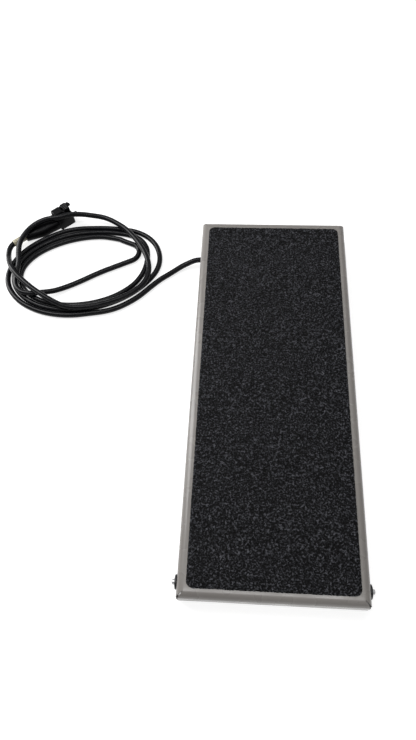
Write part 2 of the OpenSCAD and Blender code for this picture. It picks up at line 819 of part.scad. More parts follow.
// Common post, open contact and closed contact, each with a tail through the case
module switch_terminals() {
    strip_w = 1.4;
    strip_t = 0.4;
    strip_x = switch_x - strip_w / 2;
    low = blade_z - blade_drop - blade_t / 2 - contact_h - inner_gap;
    high = blade_z + blade_t / 2 + contact_h + running_gap;
    over = fix_z + fix_boss / 2 + inner_gap;
    wall_y = switch_y - cavity_l / 2;
    roof = cavity_top - inner_gap;
    color("#b98b3e") {
        terminal(common_y, cavity_w - 1);
        translate([switch_x - 1, blade_pivot_y - 0.4, cavity_z])
            cube([2, 0.8, blade_z - blade_t / 2 - running_gap - cavity_z]);

        terminal(open_y, cavity_w - 1);
        translate([strip_x, open_y - terminal_w / 2, cavity_z])
            cube([strip_w, strip_t, over + strip_t - cavity_z]);
        translate([strip_x, blade_tip_y - contact_d / 2, over])
            cube([strip_w, open_y - terminal_w / 2 + strip_t - blade_tip_y + contact_d / 2,
                  strip_t]);
        translate([switch_x, blade_tip_y, over]) cylinder(d = strip_w, h = low - over);

        terminal(closed_y, 1);
        translate([case_x + case_wall + 0.2, wall_y, cavity_z])
            cube([cavity_w / 2 + strip_w / 2 - 0.2, strip_t, roof - cavity_z]);
        translate([strip_x, wall_y, roof - strip_t])
            cube([strip_w, blade_tip_y - wall_y + 0.6, strip_t]);
        translate([switch_x, blade_tip_y, high]) cylinder(d = 1.2, h = roof - high);
    }
}

// Flat tail of one terminal, from inside the switch out through its back wall
module terminal(y, reach) {
    translate([case_x - terminal_l, y - terminal_w / 2, cavity_z])
        cube([terminal_l + case_wall + reach, terminal_w, terminal_t]);
}

// Round-ended plunger with a collar that keeps it in the switch
module switch_plunger() {
    foot = blade_z + blade_t / 2 + running_gap;
    head = plunger_top + plunger_lift;
    stem = plunger_d / 2;
    flat = 0.35;
    color("#c0392b") translate([switch_x, plunger_y, 0]) rotate_extrude() polygon([
        [0, foot], [flat, foot], [stem, foot + 0.35], [stem, foot + 0.7],
        [collar_d / 2, foot + 0.7], [collar_d / 2, cavity_top - inner_gap],
        [stem, cavity_top - inner_gap], [stem, head - 0.5], [flat, head], [0, head]
    ]);
}

// Contact blade, which the plunger bends down onto the open contact
module snap_blade() {
    tail = 0.7;
    color("#c9a24a") {
        translate([switch_x - blade_w / 2, blade_tip_y - 0.6, blade_z - blade_t / 2])
            cube([blade_w, blade_pivot_y + tail - blade_tip_y + 0.6, blade_t]);
        translate([switch_x, blade_tip_y, blade_z - blade_t / 2 - contact_h])
            cylinder(d = contact_d * 0.7, h = blade_t + 2 * contact_h);
    }
}

// Sheet lever whose two cheeks turn on the pin
module switch_lever() {
    nose = 1.6;
    web_y = knuckle_d / 2 + 0.6;
    drop = pin_z - lever_z;
    color("#c4c6c8") translate([0, pivot_y, pin_z]) rotate([lever_tilt, 0, 0])
        translate([switch_x - lever_w / 2, 0, 0]) {
            translate([0, web_y, -drop]) cube([lever_w, lever_arm + nose - web_y, lever_t]);
            for (x = [0, lever_w - lever_t]) translate([x, 0, 0]) difference() {
                union() {
                    rod_x(knuckle_d, lever_t);
                    translate([0, 0, -drop]) cube([lever_t, web_y + 1, drop]);
                }
                translate([-eps, 0, 0]) rod_x(pin_d + 2 * running_gap, lever_t + 2 * eps);
            }
        }
}

module lever_pin() {
    overhang = 0.3;
    color("#d0d0d2") translate([switch_x - lever_w / 2 - overhang, pivot_y, pin_z])
        rod_x(pin_d, lever_w + 2 * overhang);
}

module switch_bracket() {
    hole = 2 * running_gap;
    leg_h = case_h + switch_lift - 1;
    y0 = switch_y - bracket_l / 2;
    color("#a8aaad") difference() {
        union() {
            translate([bracket_x, y0, floor_z]) cube([bracket_t, bracket_l, leg_h]);
            translate([bracket_x, y0, floor_z])
                cube([bracket_t + bracket_foot, bracket_l, bracket_t]);
        }
        fixing_holes(bracket_x, bracket_t);
        at_bracket_screws() translate([0, 0, floor_z - eps])
            cylinder(d = foot_screw_d + hole, h = bracket_t + 2 * eps);
    }
}

// Two screws through the switch, threaded into its bracket
module switch_screws() {
    head_d = fix_d + 1.4;
    head_t = 1;
    shank = fix_d - 2 * running_gap;
    color("#bfbfc1") for (sy = [-1, 1])
        translate([case_x, switch_y + sy * fix_pitch / 2, fix_z]) {
            translate([-head_t, 0, 0]) rod_x(head_d, head_t);
            rod_x(shank, case_w + bracket_t);
        }
}

// Pan head screw from the top of a sheet stack down to the plate's underside
module pan_screw(d, head_z) {
    head_d = 2 * d - 0.4;
    translate([0, 0, plate_z]) cylinder(d = d, h = head_z - plate_z + eps);
    translate([0, 0, head_z]) rotate_extrude() polygon([
        [0, 0], [head_d / 2, 0], [head_d / 2, d * 0.3], [head_d * 0.36, d * 0.55], [0, d * 0.55]
    ]);
}

module bracket_screws() {
    color("#bfbfc1") at_bracket_screws() pan_screw(foot_screw_d, floor_z + bracket_t);
}

// ---- cable inside the base ----

// Grommet gripping the base wall, with a sleeve that tapers inward
module cable_grommet() {
    bore = cable_d / 2 + cable_gap;
    neck = grommet_neck / 2;
    flange = grommet_d / 2;
    color("#19191b") translate([exit_x, exit_y, exit_z]) rotate([0, 90, 0])
        rotate_extrude() polygon([
            [bore, 0], [flange, 0], [flange, grommet_flange], [neck, grommet_flange],
            [neck, grommet_flange + base_t], [flange, grommet_flange + base_t],
            [flange, 2 * grommet_flange + base_t], [neck, 2 * grommet_flange + base_t],
            [bore + 0.5, 2 * grommet_flange + base_t + grommet_sleeve],
            [bore, 2 * grommet_flange + base_t + grommet_sleeve]
        ]);
}

module cable_tail() {
    straight = exit_x + 2 * grommet_flange + base_t + grommet_sleeve;
    color("#141416") tube([
        [exit_x, exit_y, exit_z], [straight - 6, exit_y, exit_z], [straight, exit_y, exit_z],
        [straight + 8, exit_y - 0.4, exit_z - 0.8], [tail_x - 17, exit_y - 1.5, run_z + 0.4],
        [tail_x - 9, exit_y - 4, run_z], [tail_x - 3, exit_y - 9, run_z],
        [tail_x, exit_y - 17, run_z], [tail_x, clamp_y + clamp_w / 2 + 1, run_z],
        [tail_x, clamp_y - clamp_w / 2 - 1, run_z], [tail_x, tail_end_y + 12, run_z],
        [tail_x, tail_end_y, run_z]
    ], cable_d, 12);
}

// Saddle strap over the cable with one foot
module cable_clamp() {
    inner = cable_d / 2 + cable_gap;
    outer = inner + clamp_t;
    foot = 8;
    color("#1b1b1d") translate([tail_x, clamp_y - clamp_w / 2, 0]) difference() {
        union() {
            translate([0, 0, run_z]) rotate([-90, 0, 0]) cylinder(r = outer, h = clamp_w);
            translate([-outer, 0, floor_z]) cube([2 * outer, clamp_w, run_z - floor_z]);
            translate([0, 0, floor_z]) cube([outer + foot, clamp_w, clamp_t]);
        }
        translate([0, -eps, run_z]) rotate([-90, 0, 0])
            cylinder(r = inner, h = clamp_w + 2 * eps);
        translate([-inner, -eps, floor_z - 2]) cube([2 * inner, clamp_w + 2 * eps, run_z - floor_z + 2]);
        translate([0, 0, floor_z - outer]) translate([-outer - eps, -eps, 0])
            cube([2 * outer + foot, clamp_w + 2 * eps, outer]);
        translate([outer + 4, clamp_w / 2, floor_z - eps])
            cylinder(d = clamp_screw_d + 2 * running_gap, h = clamp_t + 2 * eps);
    }
}

module clamp_screw() {
    color("#bfbfc1") at_clamp_screw() pan_screw(clamp_screw_d, floor_z + clamp_t);
}

// Insulated lead from the cable's end to a terminal's outer end
module lead(turn, y) {
    shift = lead_offset * [cos(turn), 0, sin(turn)];
    end_x = case_x - terminal_l + 0.8;
    end_z = cavity_z + terminal_t + lead_d / 2 + 0.05;
    half_y = (tail_end_y + switch_y) / 2;
    tube([
        [tail_x, tail_end_y, run_z] + shift, [tail_x, tail_end_y - 7, run_z] + shift,
        [tail_x + 1, half_y + 6, run_z + 0.5] + shift,
        [tail_x + 3, half_y - 4, run_z + 0.4] + shift,
        [end_x - 7, y + 8, run_z + 0.2] + shift, [end_x - 5, y + 2.2, end_z + 0.4],
        [end_x - 2.5, y + 0.3, end_z], [end_x, y, end_z], [end_x + 2, y, end_z]
    ], lead_d, 8);
}

module lead_common() {
    color("#7a4a24") lead(90, common_y);
}

module lead_open() {
    color("#2a56a8") lead(330, open_y);
}

module lead_closed() {
    color("#9a9a9c") lead(210, closed_y);
}

// ---- free cable ----

module cable_lead() {
    color("#141416") tube(lead_route, cable_d, 8);
}

module cable_chord() {
    color("#141416") tube(chord_route, cable_d, 8);
}

module cable_end() {
    color("#141416") tube(end_route, cable_d, 8);
}

// Outer shape of the turns that lie on the floor
module cable_coil() {
    steps = 60;
    color("#141416") translate([coil_mid[0], coil_mid[1], 0]) rotate([0, 0, coil_turn])
        linear_extrude(coil_tall) difference() {
            polygon([for (i = [0 : steps - 1])
                [coil_a * cos(360 * i / steps), coil_b * sin(360 * i / steps)]]);
            polygon([for (i = [0 : steps - 1]) [
                (coil_a - coil_wide) * cos(360 * i / steps),
                (coil_b - coil_wide) * sin(360 * i / steps)]]);
        }
}

// ---- plug ----

// Places plug parts: x along the plug from the boot's cable end, z = 0 on the floor
module on_plug() {
    translate([plug_at[0], plug_at[1], 0]) rotate([0, 0, plug_turn]) children();
}

module marker_sleeve() {
    color("#cfc8a4") translate([sleeve_at[0], sleeve_at[1], axis_z])
        rotate([0, 90, plug_turn]) difference() {
            cylinder(d = cable_d + 2 * cable_gap + 2 * sleeve_t, h = sleeve_l);
            translate([0, 0, -eps])
                cylinder(d = cable_d + 2 * cable_gap, h = sleeve_l + 2 * eps);
        }
}

// Slice of the boot: a rounded block across the plug's axis
module boot_slice(x, w, z0, z1, r) {
    for (y = [-w / 2 + r, w / 2 - r], z = [z0 + r, z1 - r])
        translate([x, y, z]) rod_x(2 * r, 1, $fn = 24);
}

// Flared rubber boot, its neck to one side of the plug's axis
module connector_boot() {
    neck_r = cable_d / 2 + 2.3;
    mid = boot_l * 0.5;
    mid_w = boot_w * 0.89;
    mid_h = boot_h * 0.94;
    mid_shift = neck_shift * 0.2;
    color("#161618") on_plug() {
        hull() {
            translate([0, neck_shift, axis_z]) rod_x(2 * neck_r, 1, $fn = 24);
            translate([0, mid_shift, 0]) boot_slice(mid, mid_w, 0.2, mid_h, 3);
        }
        hull() {
            translate([0, mid_shift, 0]) boot_slice(mid, mid_w, 0.2, mid_h, 3);
            boot_slice(boot_l - 1, boot_w, 0, boot_h, 3);
        }
    }
}

// Plug body: a hood round a nose with square contact holes, open at its far end
module connector_housing() {
    nose_w = plug_w - 2 * hood_t - 2 * hood_gap;
    nose_h = plug_h - 2 * hood_t - 2 * hood_gap;
    nose_z = hood_t + hood_gap;
    end_x = boot_l + plug_l;
    rib = 4;
    color("#18181a") on_plug() difference() {
        union() {
            difference() {
                translate([boot_l + plug_l / 2, 0, 0])
                    rounded_block(plug_l, plug_w, plug_h, 1.6);
                translate([end_x - hood_depth, -plug_w / 2 + hood_t, hood_t])
                    cube([hood_depth + eps, plug_w - 2 * hood_t, plug_h - 2 * hood_t]);
            }
            translate([end_x - hood_depth - eps, -nose_w / 2, nose_z])
                cube([hood_depth - 1, nose_w, nose_h]);
            translate([end_x - 6, -plug_w / 2 - 1, plug_h - 3.2]) cube([6 + rib, 2.4, 3]);
            translate([end_x - 6, plug_w / 2 - 1.4, plug_h - 3.2]) cube([6 + rib, 2.4, 3]);
        }
        at_contacts() translate([end_x - hood_depth - 4, 0, 0])
            translate([0, -contact_s / 2 - running_gap, -contact_s / 2 - running_gap])
                cube([hood_depth + 6, contact_s + 2 * running_gap, contact_s + 2 * running_gap]);
    }
}

module at_contacts() {
    for (i = [0 : contact_n - 1])
        translate([0, (i - (contact_n - 1) / 2) * contact_pitch, plug_h / 2]) children();
}

// Latch on top of the plug: a finger tunnel, a press ridge and a catch past the face
module connector_latch() {
    end_x = boot_l + plug_l;
    tunnel_l = plug_l * 0.52;
    ridge_l = plug_l * 0.36;
    rail = 2.2;
    catch_w = 2.6;
    off_centre = 1.2;
    color("#18181a") on_plug() translate([0, off_centre - latch_w / 2, plug_h]) {
        difference() {
            translate([boot_l, 0, 0]) cube([tunnel_l, latch_w, latch_h]);
            translate([boot_l - eps, latch_t, -eps])
                cube([tunnel_l + 2 * eps, latch_w - 2 * latch_t, latch_h - latch_t + eps]);
        }
        for (y = [0, latch_w - rail])
            translate([boot_l + tunnel_l - eps, y, 0])
                cube([plug_l - tunnel_l + eps, rail, latch_h * 0.55]);
        translate([end_x - ridge_l, 0, latch_h * 0.5 - eps])
            cube([ridge_l, latch_w, latch_h * 0.5]);
        translate([end_x - eps, (latch_w - catch_w) / 2, latch_h * 0.5])
            cube([4, catch_w, latch_h * 0.5]);
    }
}

module connector_terminals() {
    end_x = boot_l + plug_l;
    color("#c9a24a") on_plug() at_contacts()
        translate([end_x - hood_depth - 4 + eps, -contact_s / 2, -contact_s / 2]) difference() {
            cube([hood_depth + 1, contact_s, contact_s]);
            translate([4, contact_s * 0.2, contact_s * 0.2])
                cube([hood_depth, contact_s * 0.6, contact_s * 0.6]);
        }
}

// Rubber ring at the foot of the nose
module connector_seal() {
    end_x = boot_l + plug_l;
    ring_l = 2.4;
    slack = 0.15;
    nose_w = plug_w - 2 * hood_t - 2 * hood_gap;
    nose_h = plug_h - 2 * hood_t - 2 * hood_gap;
    color("#b5562c") on_plug() translate([end_x - hood_depth, 0, plug_h / 2]) difference() {
        translate([0, -plug_w / 2 + hood_t + slack, -plug_h / 2 + hood_t + slack])
            cube([ring_l, plug_w - 2 * hood_t - 2 * slack, plug_h - 2 * hood_t - 2 * slack]);
        translate([-eps, -nose_w / 2 - eps, -nose_h / 2 - eps])
            cube([ring_l + 2 * eps, nose_w + 2 * eps, nose_h + 2 * eps]);
    }
}

treadle_tray();
grip_mat();
hinge_rod();
rod_retainer_left();
rod_retainer_right();
actuator_stud();
actuator_cap();
spring_bosses();
base_tray();
base_pad();
hinge_bush_left();
hinge_bush_right();
mounting_nuts();
return_spring_left();
return_spring_right();
spring_cups();
bump_stops();
switch_case();
switch_cover();
switch_terminals();
switch_plunger();
snap_blade();
switch_lever();
lever_pin();
switch_bracket();
switch_screws();
bracket_screws();
cable_grommet();
cable_tail();
cable_clamp();
clamp_screw();
lead_common();
lead_open();
lead_closed();
cable_lead();
cable_coil();
cable_chord();
cable_end();
marker_sleeve();
connector_boot();
connector_housing();
connector_latch();
connector_terminals();
connector_seal();
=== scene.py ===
"""Treadle foot switch: a grey folded treadle with a grit mat, hinged over its base,
and a coiled cable that ends in a latched plug."""

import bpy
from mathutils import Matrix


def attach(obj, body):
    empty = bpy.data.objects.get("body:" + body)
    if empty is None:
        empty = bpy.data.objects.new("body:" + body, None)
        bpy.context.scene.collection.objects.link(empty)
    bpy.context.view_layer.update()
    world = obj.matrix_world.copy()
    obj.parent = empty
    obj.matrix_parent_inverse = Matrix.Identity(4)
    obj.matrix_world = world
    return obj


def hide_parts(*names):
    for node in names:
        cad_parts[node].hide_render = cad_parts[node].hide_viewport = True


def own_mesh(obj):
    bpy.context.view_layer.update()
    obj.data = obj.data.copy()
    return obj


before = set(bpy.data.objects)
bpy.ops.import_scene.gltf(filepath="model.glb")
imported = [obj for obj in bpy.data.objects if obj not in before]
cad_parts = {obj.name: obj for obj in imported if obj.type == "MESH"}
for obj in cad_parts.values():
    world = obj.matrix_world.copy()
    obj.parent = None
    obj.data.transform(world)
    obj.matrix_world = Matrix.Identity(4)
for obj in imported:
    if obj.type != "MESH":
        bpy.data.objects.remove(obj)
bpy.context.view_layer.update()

import math

import bmesh
import bpy
import numpy as np
from mathutils import Matrix, Vector

MM = 0.001
scene = bpy.context.scene

# ---- sizes, in millimetres ----
# They repeat the part's source, with two exceptions. The treadle's corner openings are
# drawn narrower. The latch is a little larger and further to one side, and its catch
# reaches 1 mm less past the plug's face.

TREAD_W, TREAD_L, TREAD_H, TREAD_T = 130.0, 326.0, 17.6, 1.5
FOLD_R = 5.0
CORNER_OPEN, CORNER_SLIT, OPEN_DEPTH, OPEN_BLEND = 1.2, 0.3, 8.0, 0.3
LIP_L, LIP_W, LIP_R = 4.5, 96.0, 2.0
MAT_SIDE, MAT_HEEL, MAT_TOE, MAT_R = 6.5, 6.4, 7.0, 5.0
HINGE_Y, HINGE_Z, REST_TILT = -152.0, 10.1, 1.35
TOP_Z = 19.1
ROD_D, ROD_HALF = 4.0, 69.0
RETAINER_D, RETAINER_T, RETAINER_SHEET = 10.0, 2.0, 0.5
NOTCH_Y, NOTCH_W, NOTCH_TOP = 133.0, 8.2, 10.8
SPRING_X, SPRING_Y, SPRING_R, SPRING_WIRE = 36.0, 115.0, 5.45, 1.1
SPRING_FOOT, SPRING_TALL, SPRING_TURNS = 3.5, 20.0, 6
CABLE_D, STRAND_Z = 5.0, 2.6
EXIT = (-63.0, 133.0, 7.5)
PLUG_AT, PLUG_TURN, PLUG_AXIS_Z, NECK_SHIFT = (-238.0, 156.8), 43.0, 5.5, 3.5
SLEEVE_L, SLEEVE_BORE, SLEEVE_D = 13.0, 5.2, 6.4
BOOT_L, BOOT_W, BOOT_H, BOOT_NECK = 34.0, 14.8, 11.0, 4.8
PLUG_L, PLUG_H = 16.5, 12.0
LATCH_W, LATCH_H, LATCH_WALL, LATCH_MID = 9.2, 4.5, 1.5, 1.5


# ---- camera ----

def set_camera():
    """Camera over the treadle's heel, looking down along it."""
    right = (0.99779906, 0.05397966, -0.03851272)
    up = (-0.02895742, 0.87719995, 0.4792512)
    back = (0.05965317, -0.47708117, 0.8768324)
    place = (-0.025385, -0.205399, 0.414099)
    data = bpy.data.cameras.new("camera")
    data.lens = 27.05
    data.sensor_width = 36
    data.clip_start, data.clip_end = 0.01, 50
    camera = bpy.data.objects.new("camera", data)
    camera.matrix_world = Matrix([
        [right[i], up[i], back[i], place[i]] for i in range(3)
    ] + [[0, 0, 0, 1]])
    scene.collection.objects.link(camera)
    scene.camera = camera


set_camera()


# ---- cable route ----

LEAD = [
    EXIT, (-66.5, 133, 7.4), (-71.5, 132.6, 6.7), (-77.5, 130.9, 5), (-84.5, 127.5, 3.5),
    (-93.5, 120.5, 2.7), (-103, 112.6, 2.6), (-112, 103, 2.6), (-120, 94, 2.6),
    (-128.4, 86.8, 2.6), (-138.5, 80.3, 2.6), (-149.5, 76, 2.6),
]
CHORD = [
    (-148.5, 160.9, 2.6), (-144, 159, 2.6), (-139.6, 157.1, 2.6), (-135.1, 155.2, 2.6),
    (-130.8, 153, 2.6), (-127.7, 149.3, 2.6), (-126.5, 144.7, 2.6), (-127.5, 139.9, 2.6),
    (-130.3, 136.1, 2.6), (-134.5, 133.6, 2.6), (-138.8, 131.4, 2.6), (-143.1, 129.1, 2.6),
    (-147.4, 126.9, 2.6), (-151.7, 124.6, 2.6), (-156, 122.4, 2.6), (-166, 116.5, 2.6),
    (-178, 108.8, 2.6), (-189, 102.4, 2.8), (-200, 96.2, 4.4), (-211.3, 92, 7),
    (-221, 90.3, 7.8), (-229, 92, 7.8), (-234.8, 97.8, 7.8), (-237.2, 106, 7.8),
    (-237.8, 116, 7.8),
    (-239, 127, 8), (-241, 137, 9), (-241.3, 147.5, 10.8), (-237.5, 158.5, 12.3),
    (-230.5, 168.1, 13.3), (-220.4, 174.2, 14.4), (-208.6, 176.4, 14.9), (-199.4, 180.2, 14.8),
    (-189, 183.9, 12), (-177, 185.5, 8.8), (-164, 183.5, 7.8), (-152, 177.2, 7.8),
    (-141, 168.9, 7.8), (-132, 159, 7.8), (-124.6, 148.8, 7.8), (-118.8, 138.5, 7.8),
    (-115, 128, 7.8), (-113.8, 118, 7.8), (-115.6, 108, 7.8), (-121.3, 98.6, 7.8),
    (-130.6, 90.8, 7.8), (-142.6, 84.2, 7.8), (-156.8, 79, 7.8),
]
END = [
    (-168, 76.3, 7.8), (-180, 75.9, 8), (-189, 77.2, 9.4), (-198.4, 80.8, 11.4),
    (-208.4, 86.4, 12.8), (-217.3, 92.4, 13.1), (-226.3, 99.6, 13.2), (-234.6, 107.2, 13.2),
    (-241.6, 115.7, 12.4), (-247, 125, 9.2), (-250.5, 132.8, 6.4), (-252, 138.4, 5.6),
    (-252.3, 143.9, 5.5),
]
# walked angle in degrees and how far the strand is drawn in there, in millimetres
DRAWN_IN = [
    (88, 0.6), (118, 0.8), (134, 1.2), (163, 1.0), (178, 0.2), (222, 1.2), (239, 1.7),
    (254, 1.0), (268, 1.7), (283, 3.0), (299, 2.2), (308, 0.7), (316, -0.9), (325, -2.0),
    (334, -2.4), (344, -2.0), (356, -0.9), (368, 0.0), (379, 1.6), (390, 3.5), (404, 5.1),
    (420, 5.8), (450, 6.0), (510, 6.6), (540, 6.4), (573, 7.0), (595, 7.6), (628, 8.2),
    (645, 8.7), (662, 7.3), (673, 5.6), (684, 4.6), (694, 5.4), (706, 8.6), (720, 11.6),
    (733, 12.6), (745, 12.6), (757, 12.0), (790, 11.4), (840, 11.8), (918, 12.4),
    (938, 13.4), (955, 14.2), (969, 14.6), (987, 14.5), (1005, 14.0), (1024, 13.7),
]


def coil_turns():
    """Turns on the floor: a tilted ellipse walked clockwise, drawn in by an amount
    that depends on the angle walked, so that each turn lies inside the one before."""
    centre, half, tilt = np.array([-177.0, 123.7]), (72.0, 52.8), math.radians(11.5)
    walked, drawn_in = np.transpose(DRAWN_IN)
    first, past, step = 88.0, 1013, 12
    angle = -np.arange(first, past, step)
    inward = np.interp(-angle, walked, drawn_in)
    x = (half[0] - inward) * np.cos(np.radians(angle))
    y = (half[1] - inward) * np.sin(np.radians(angle))
    return np.stack([
        centre[0] + math.cos(tilt) * x - math.sin(tilt) * y,
        centre[1] + math.sin(tilt) * x + math.cos(tilt) * y,
        np.full_like(x, STRAND_Z),
    ], 1)


def plug_line():
    """Sleeve's cable end and the boot's neck: one line in the plug's direction,
    to one side of its axis."""
    turn = math.radians(PLUG_TURN)
    neck = np.array([PLUG_AT[0] - NECK_SHIFT * math.sin(turn),
                     PLUG_AT[1] + NECK_SHIFT * math.cos(turn), PLUG_AXIS_Z])
    return neck - SLEEVE_L * np.array([math.cos(turn), math.sin(turn), 0]), neck


def draw_cable(name, route, diameter):
    """Round cable on one smooth curve through the route's points. Each point's
    handles are a sixth of the step between its two neighbours."""
    ahead = np.vstack([route[1:], route[-1:]])
    behind = np.vstack([route[:1], route[:-1]])
    reach = (ahead - behind) / 6
    reach[[0, -1]] *= 2
    curve = bpy.data.curves.new(name, "CURVE")
    curve.dimensions = "3D"
    curve.bevel_depth = diameter / 2
    curve.bevel_resolution = 5
    curve.resolution_u = 6
    curve.use_fill_caps = True
    spline = curve.splines.new("BEZIER")
    spline.bezier_points.add(len(route) - 1)
    points = spline.bezier_points
    points.foreach_set("co", route.ravel())
    for point in points:
        point.handle_left_type = point.handle_right_type = "FREE"
    points.foreach_set("handle_left", (route - reach).ravel())
    points.foreach_set("handle_right", (route + reach).ravel())
    piece = bpy.data.objects.new(name, curve)
    scene.collection.objects.link(piece)
    return piece


sleeve_at, neck_at = plug_line()
cable_route = np.vstack([LEAD, coil_turns(), CHORD, END, sleeve_at, neck_at]) * MM
cable = draw_cable("cable", cable_route, CABLE_D * MM)


# ---- mesh helpers ----

def grid_faces(rows, cols, loop_cols):
    """Quads between neighbouring points of a grid, with columns joined round or not."""
    index = np.arange(rows * cols).reshape(rows, cols)
    if loop_cols:
        index = np.hstack([index, index[:, :1]])
    corners = [index[:-1, :-1], index[1:, :-1], index[1:, 1:], index[:-1, 1:]]
    return np.stack(corners, -1).reshape(-1, 4)


def piece_from(name, patches, loop_cols=False, merge=1e-6):
    """One closed mesh from grids of points: edges that meet are welded, and the
    faces are turned outward."""
    points, faces, first = [], [], 0
    for patch in patches:
        rows, cols = patch.shape[:2]
        points.append(patch.reshape(-1, 3))
        faces.append(grid_faces(rows, cols, loop_cols) + first)
        first += rows * cols
    mesh = bpy.data.meshes.new(name)
    mesh.from_pydata(np.vstack(points).tolist(), [], np.vstack(faces).tolist())
    return welded(name, mesh, merge)


def welded(name, mesh, merge):
    """Object with the mesh's doubles merged and its normals pointing outward."""
    work = bmesh.new()
    work.from_mesh(mesh)
    bmesh.ops.remove_doubles(work, verts=work.verts, dist=merge)
    bmesh.ops.dissolve_degenerate(work, edges=work.edges, dist=merge / 2)
    bmesh.ops.recalc_face_normals(work, faces=work.faces)
    work.to_mesh(mesh)
    work.free()
    mesh.shade_smooth()
    piece = bpy.data.objects.new(name, mesh)
    scene.collection.objects.link(piece)
    return piece


def round_edges(piece, width, segments=2, angle=32):
    """Small radius on every edge sharper than the angle."""
    bevel = piece.modifiers.new("edges", "BEVEL")
    bevel.width = width
    bevel.segments = segments
    bevel.limit_method = "ANGLE"
    bevel.angle_limit = math.radians(angle)
    bevel.use_clamp_overlap = True
    bevel.harden_normals = True


def shell(outer, inner, skip_first_row=False):
    """Closed sheet between an outer and an inner grid: both faces and their rims.
    The rim of the first row may be left out, where the sheet goes on."""
    rims = [
        np.stack([outer[-1], inner[-1]]),
        np.stack([outer[:, 0], inner[:, 0]]),
        np.stack([outer[:, -1], inner[:, -1]]),
    ]
    if not skip_first_row:
        rims.append(np.stack([outer[0], inner[0]]))
    return [outer, inner] + rims


def turned(profile, place, axis, sides=64, wobble=None):
    """Lathe form: each profile point (radius, height) goes once round the axis."""
    profile = np.array(profile, float)
    angle = np.linspace(0, 2 * math.pi, sides, endpoint=False)
    radius = profile[:, :1] * np.ones_like(angle)
    height = profile[:, 1:] * np.ones_like(angle)
    if wobble is not None:
        radius, height = wobble(radius, height, angle)
    axis = np.array(axis, float)
    side = np.cross(axis, [0, 0, 1.0] if abs(axis[2]) < 0.9 else [0, 1.0, 0])
    side /= np.linalg.norm(side)
    other = np.cross(axis, side)
    return np.array(place) + radius[..., None] * (
        np.cos(angle)[:, None] * side + np.sin(angle)[:, None] * other
    ) + height[..., None] * axis


def swept(path, sideways, radius, sides=12):
    """Round bar: a circle carried along the path, its first axis given per point.
    Both ends are closed by drawing the circle in to the path's end."""
    along = np.gradient(path, axis=0)
    along /= np.linalg.norm(along, axis=1)[:, None]
    across = np.cross(along, sideways)
    across /= np.linalg.norm(across, axis=1)[:, None]
    angle = np.linspace(0, 2 * math.pi, sides, endpoint=False)
    ring = np.cos(angle)[None, :, None] * sideways[:, None] \
        + np.sin(angle)[None, :, None] * across[:, None]
    body = path[:, None] + radius * ring
    first = np.repeat(path[:1, None], sides, 1)
    last = np.repeat(path[-1:, None], sides, 1)
    return np.concatenate([first, body, last])


def tilted(points):
    """Turns treadle points from level to their place at rest, about the hinge."""
    turn = math.radians(REST_TILT)
    y, z = points[..., 1] - HINGE_Y, points[..., 2] - HINGE_Z
    out = points.copy()
    out[..., 1] = HINGE_Y + math.cos(turn) * y - math.sin(turn) * z
    out[..., 2] = HINGE_Z + math.sin(turn) * y + math.cos(turn) * z
    return out


def on_plug(points):
    """Plug points, x along the plug from the boot's cable end, to their place."""
    turn = math.radians(PLUG_TURN)
    x, y = points[..., 0], points[..., 1]
    out = points.copy()
    out[..., 0] = PLUG_AT[0] + math.cos(turn) * x - math.sin(turn) * y
    out[..., 1] = PLUG_AT[1] + math.sin(turn) * x + math.cos(turn) * y
    return out


def placed(patches, move):
    """Patches moved to their place and turned from millimetres into metres."""
    return [move(patch) * MM for patch in patches]


def settle(piece, body, slot, finish, *nodes):
    """Puts a finish on a piece, lets it ride on its body and stand for its nodes."""
    piece.data.materials.clear()
    piece.data.materials.append(finish)
    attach(piece, body)
    if nodes:
        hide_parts(*nodes)


# ---- finishes ----

def new_finish(name):
    """Empty node material: returns it, its shader and a function that adds a node."""
    finish = bpy.data.materials.new(name)
    finish.use_nodes = True
    tree = finish.node_tree
    shader = tree.nodes["Principled BSDF"]

    def node(kind, **inputs):
        made = tree.nodes.new(kind)
        for key, value in inputs.items():
            if isinstance(value, bpy.types.NodeSocket):
                tree.links.new(value, made.inputs[key.replace("_", " ")])
            else:
                made.inputs[key.replace("_", " ")].default_value = value
        return made

    return finish, tree, shader, node


def place_of(node):
    """Object coordinates, in metres."""
    return node("ShaderNodeTexCoord").outputs["Object"]


def between(node, share, low, high):
    """Value that goes from low to high as share goes from 0.3 to 0.7."""
    made = node("ShaderNodeMapRange", Value=share)
    made.inputs["From Min"].default_value, made.inputs["From Max"].default_value = 0.3, 0.7
    made.inputs["To Min"].default_value, made.inputs["To Max"].default_value = low, high
    return made.outputs["Result"]


def colour_between(node, share, dark, light):
    """Colour that goes from dark to light with share."""
    made = node("ShaderNodeMix")
    made.data_type = "RGBA"
    sockets = [s for s in made.inputs if s.type == "RGBA"]
    sockets[0].default_value = (*dark, 1)
    sockets[1].default_value = (*light, 1)
    made.id_data.links.new(share, made.inputs["Factor"])
    return [s for s in made.outputs if s.type == "RGBA"][0]


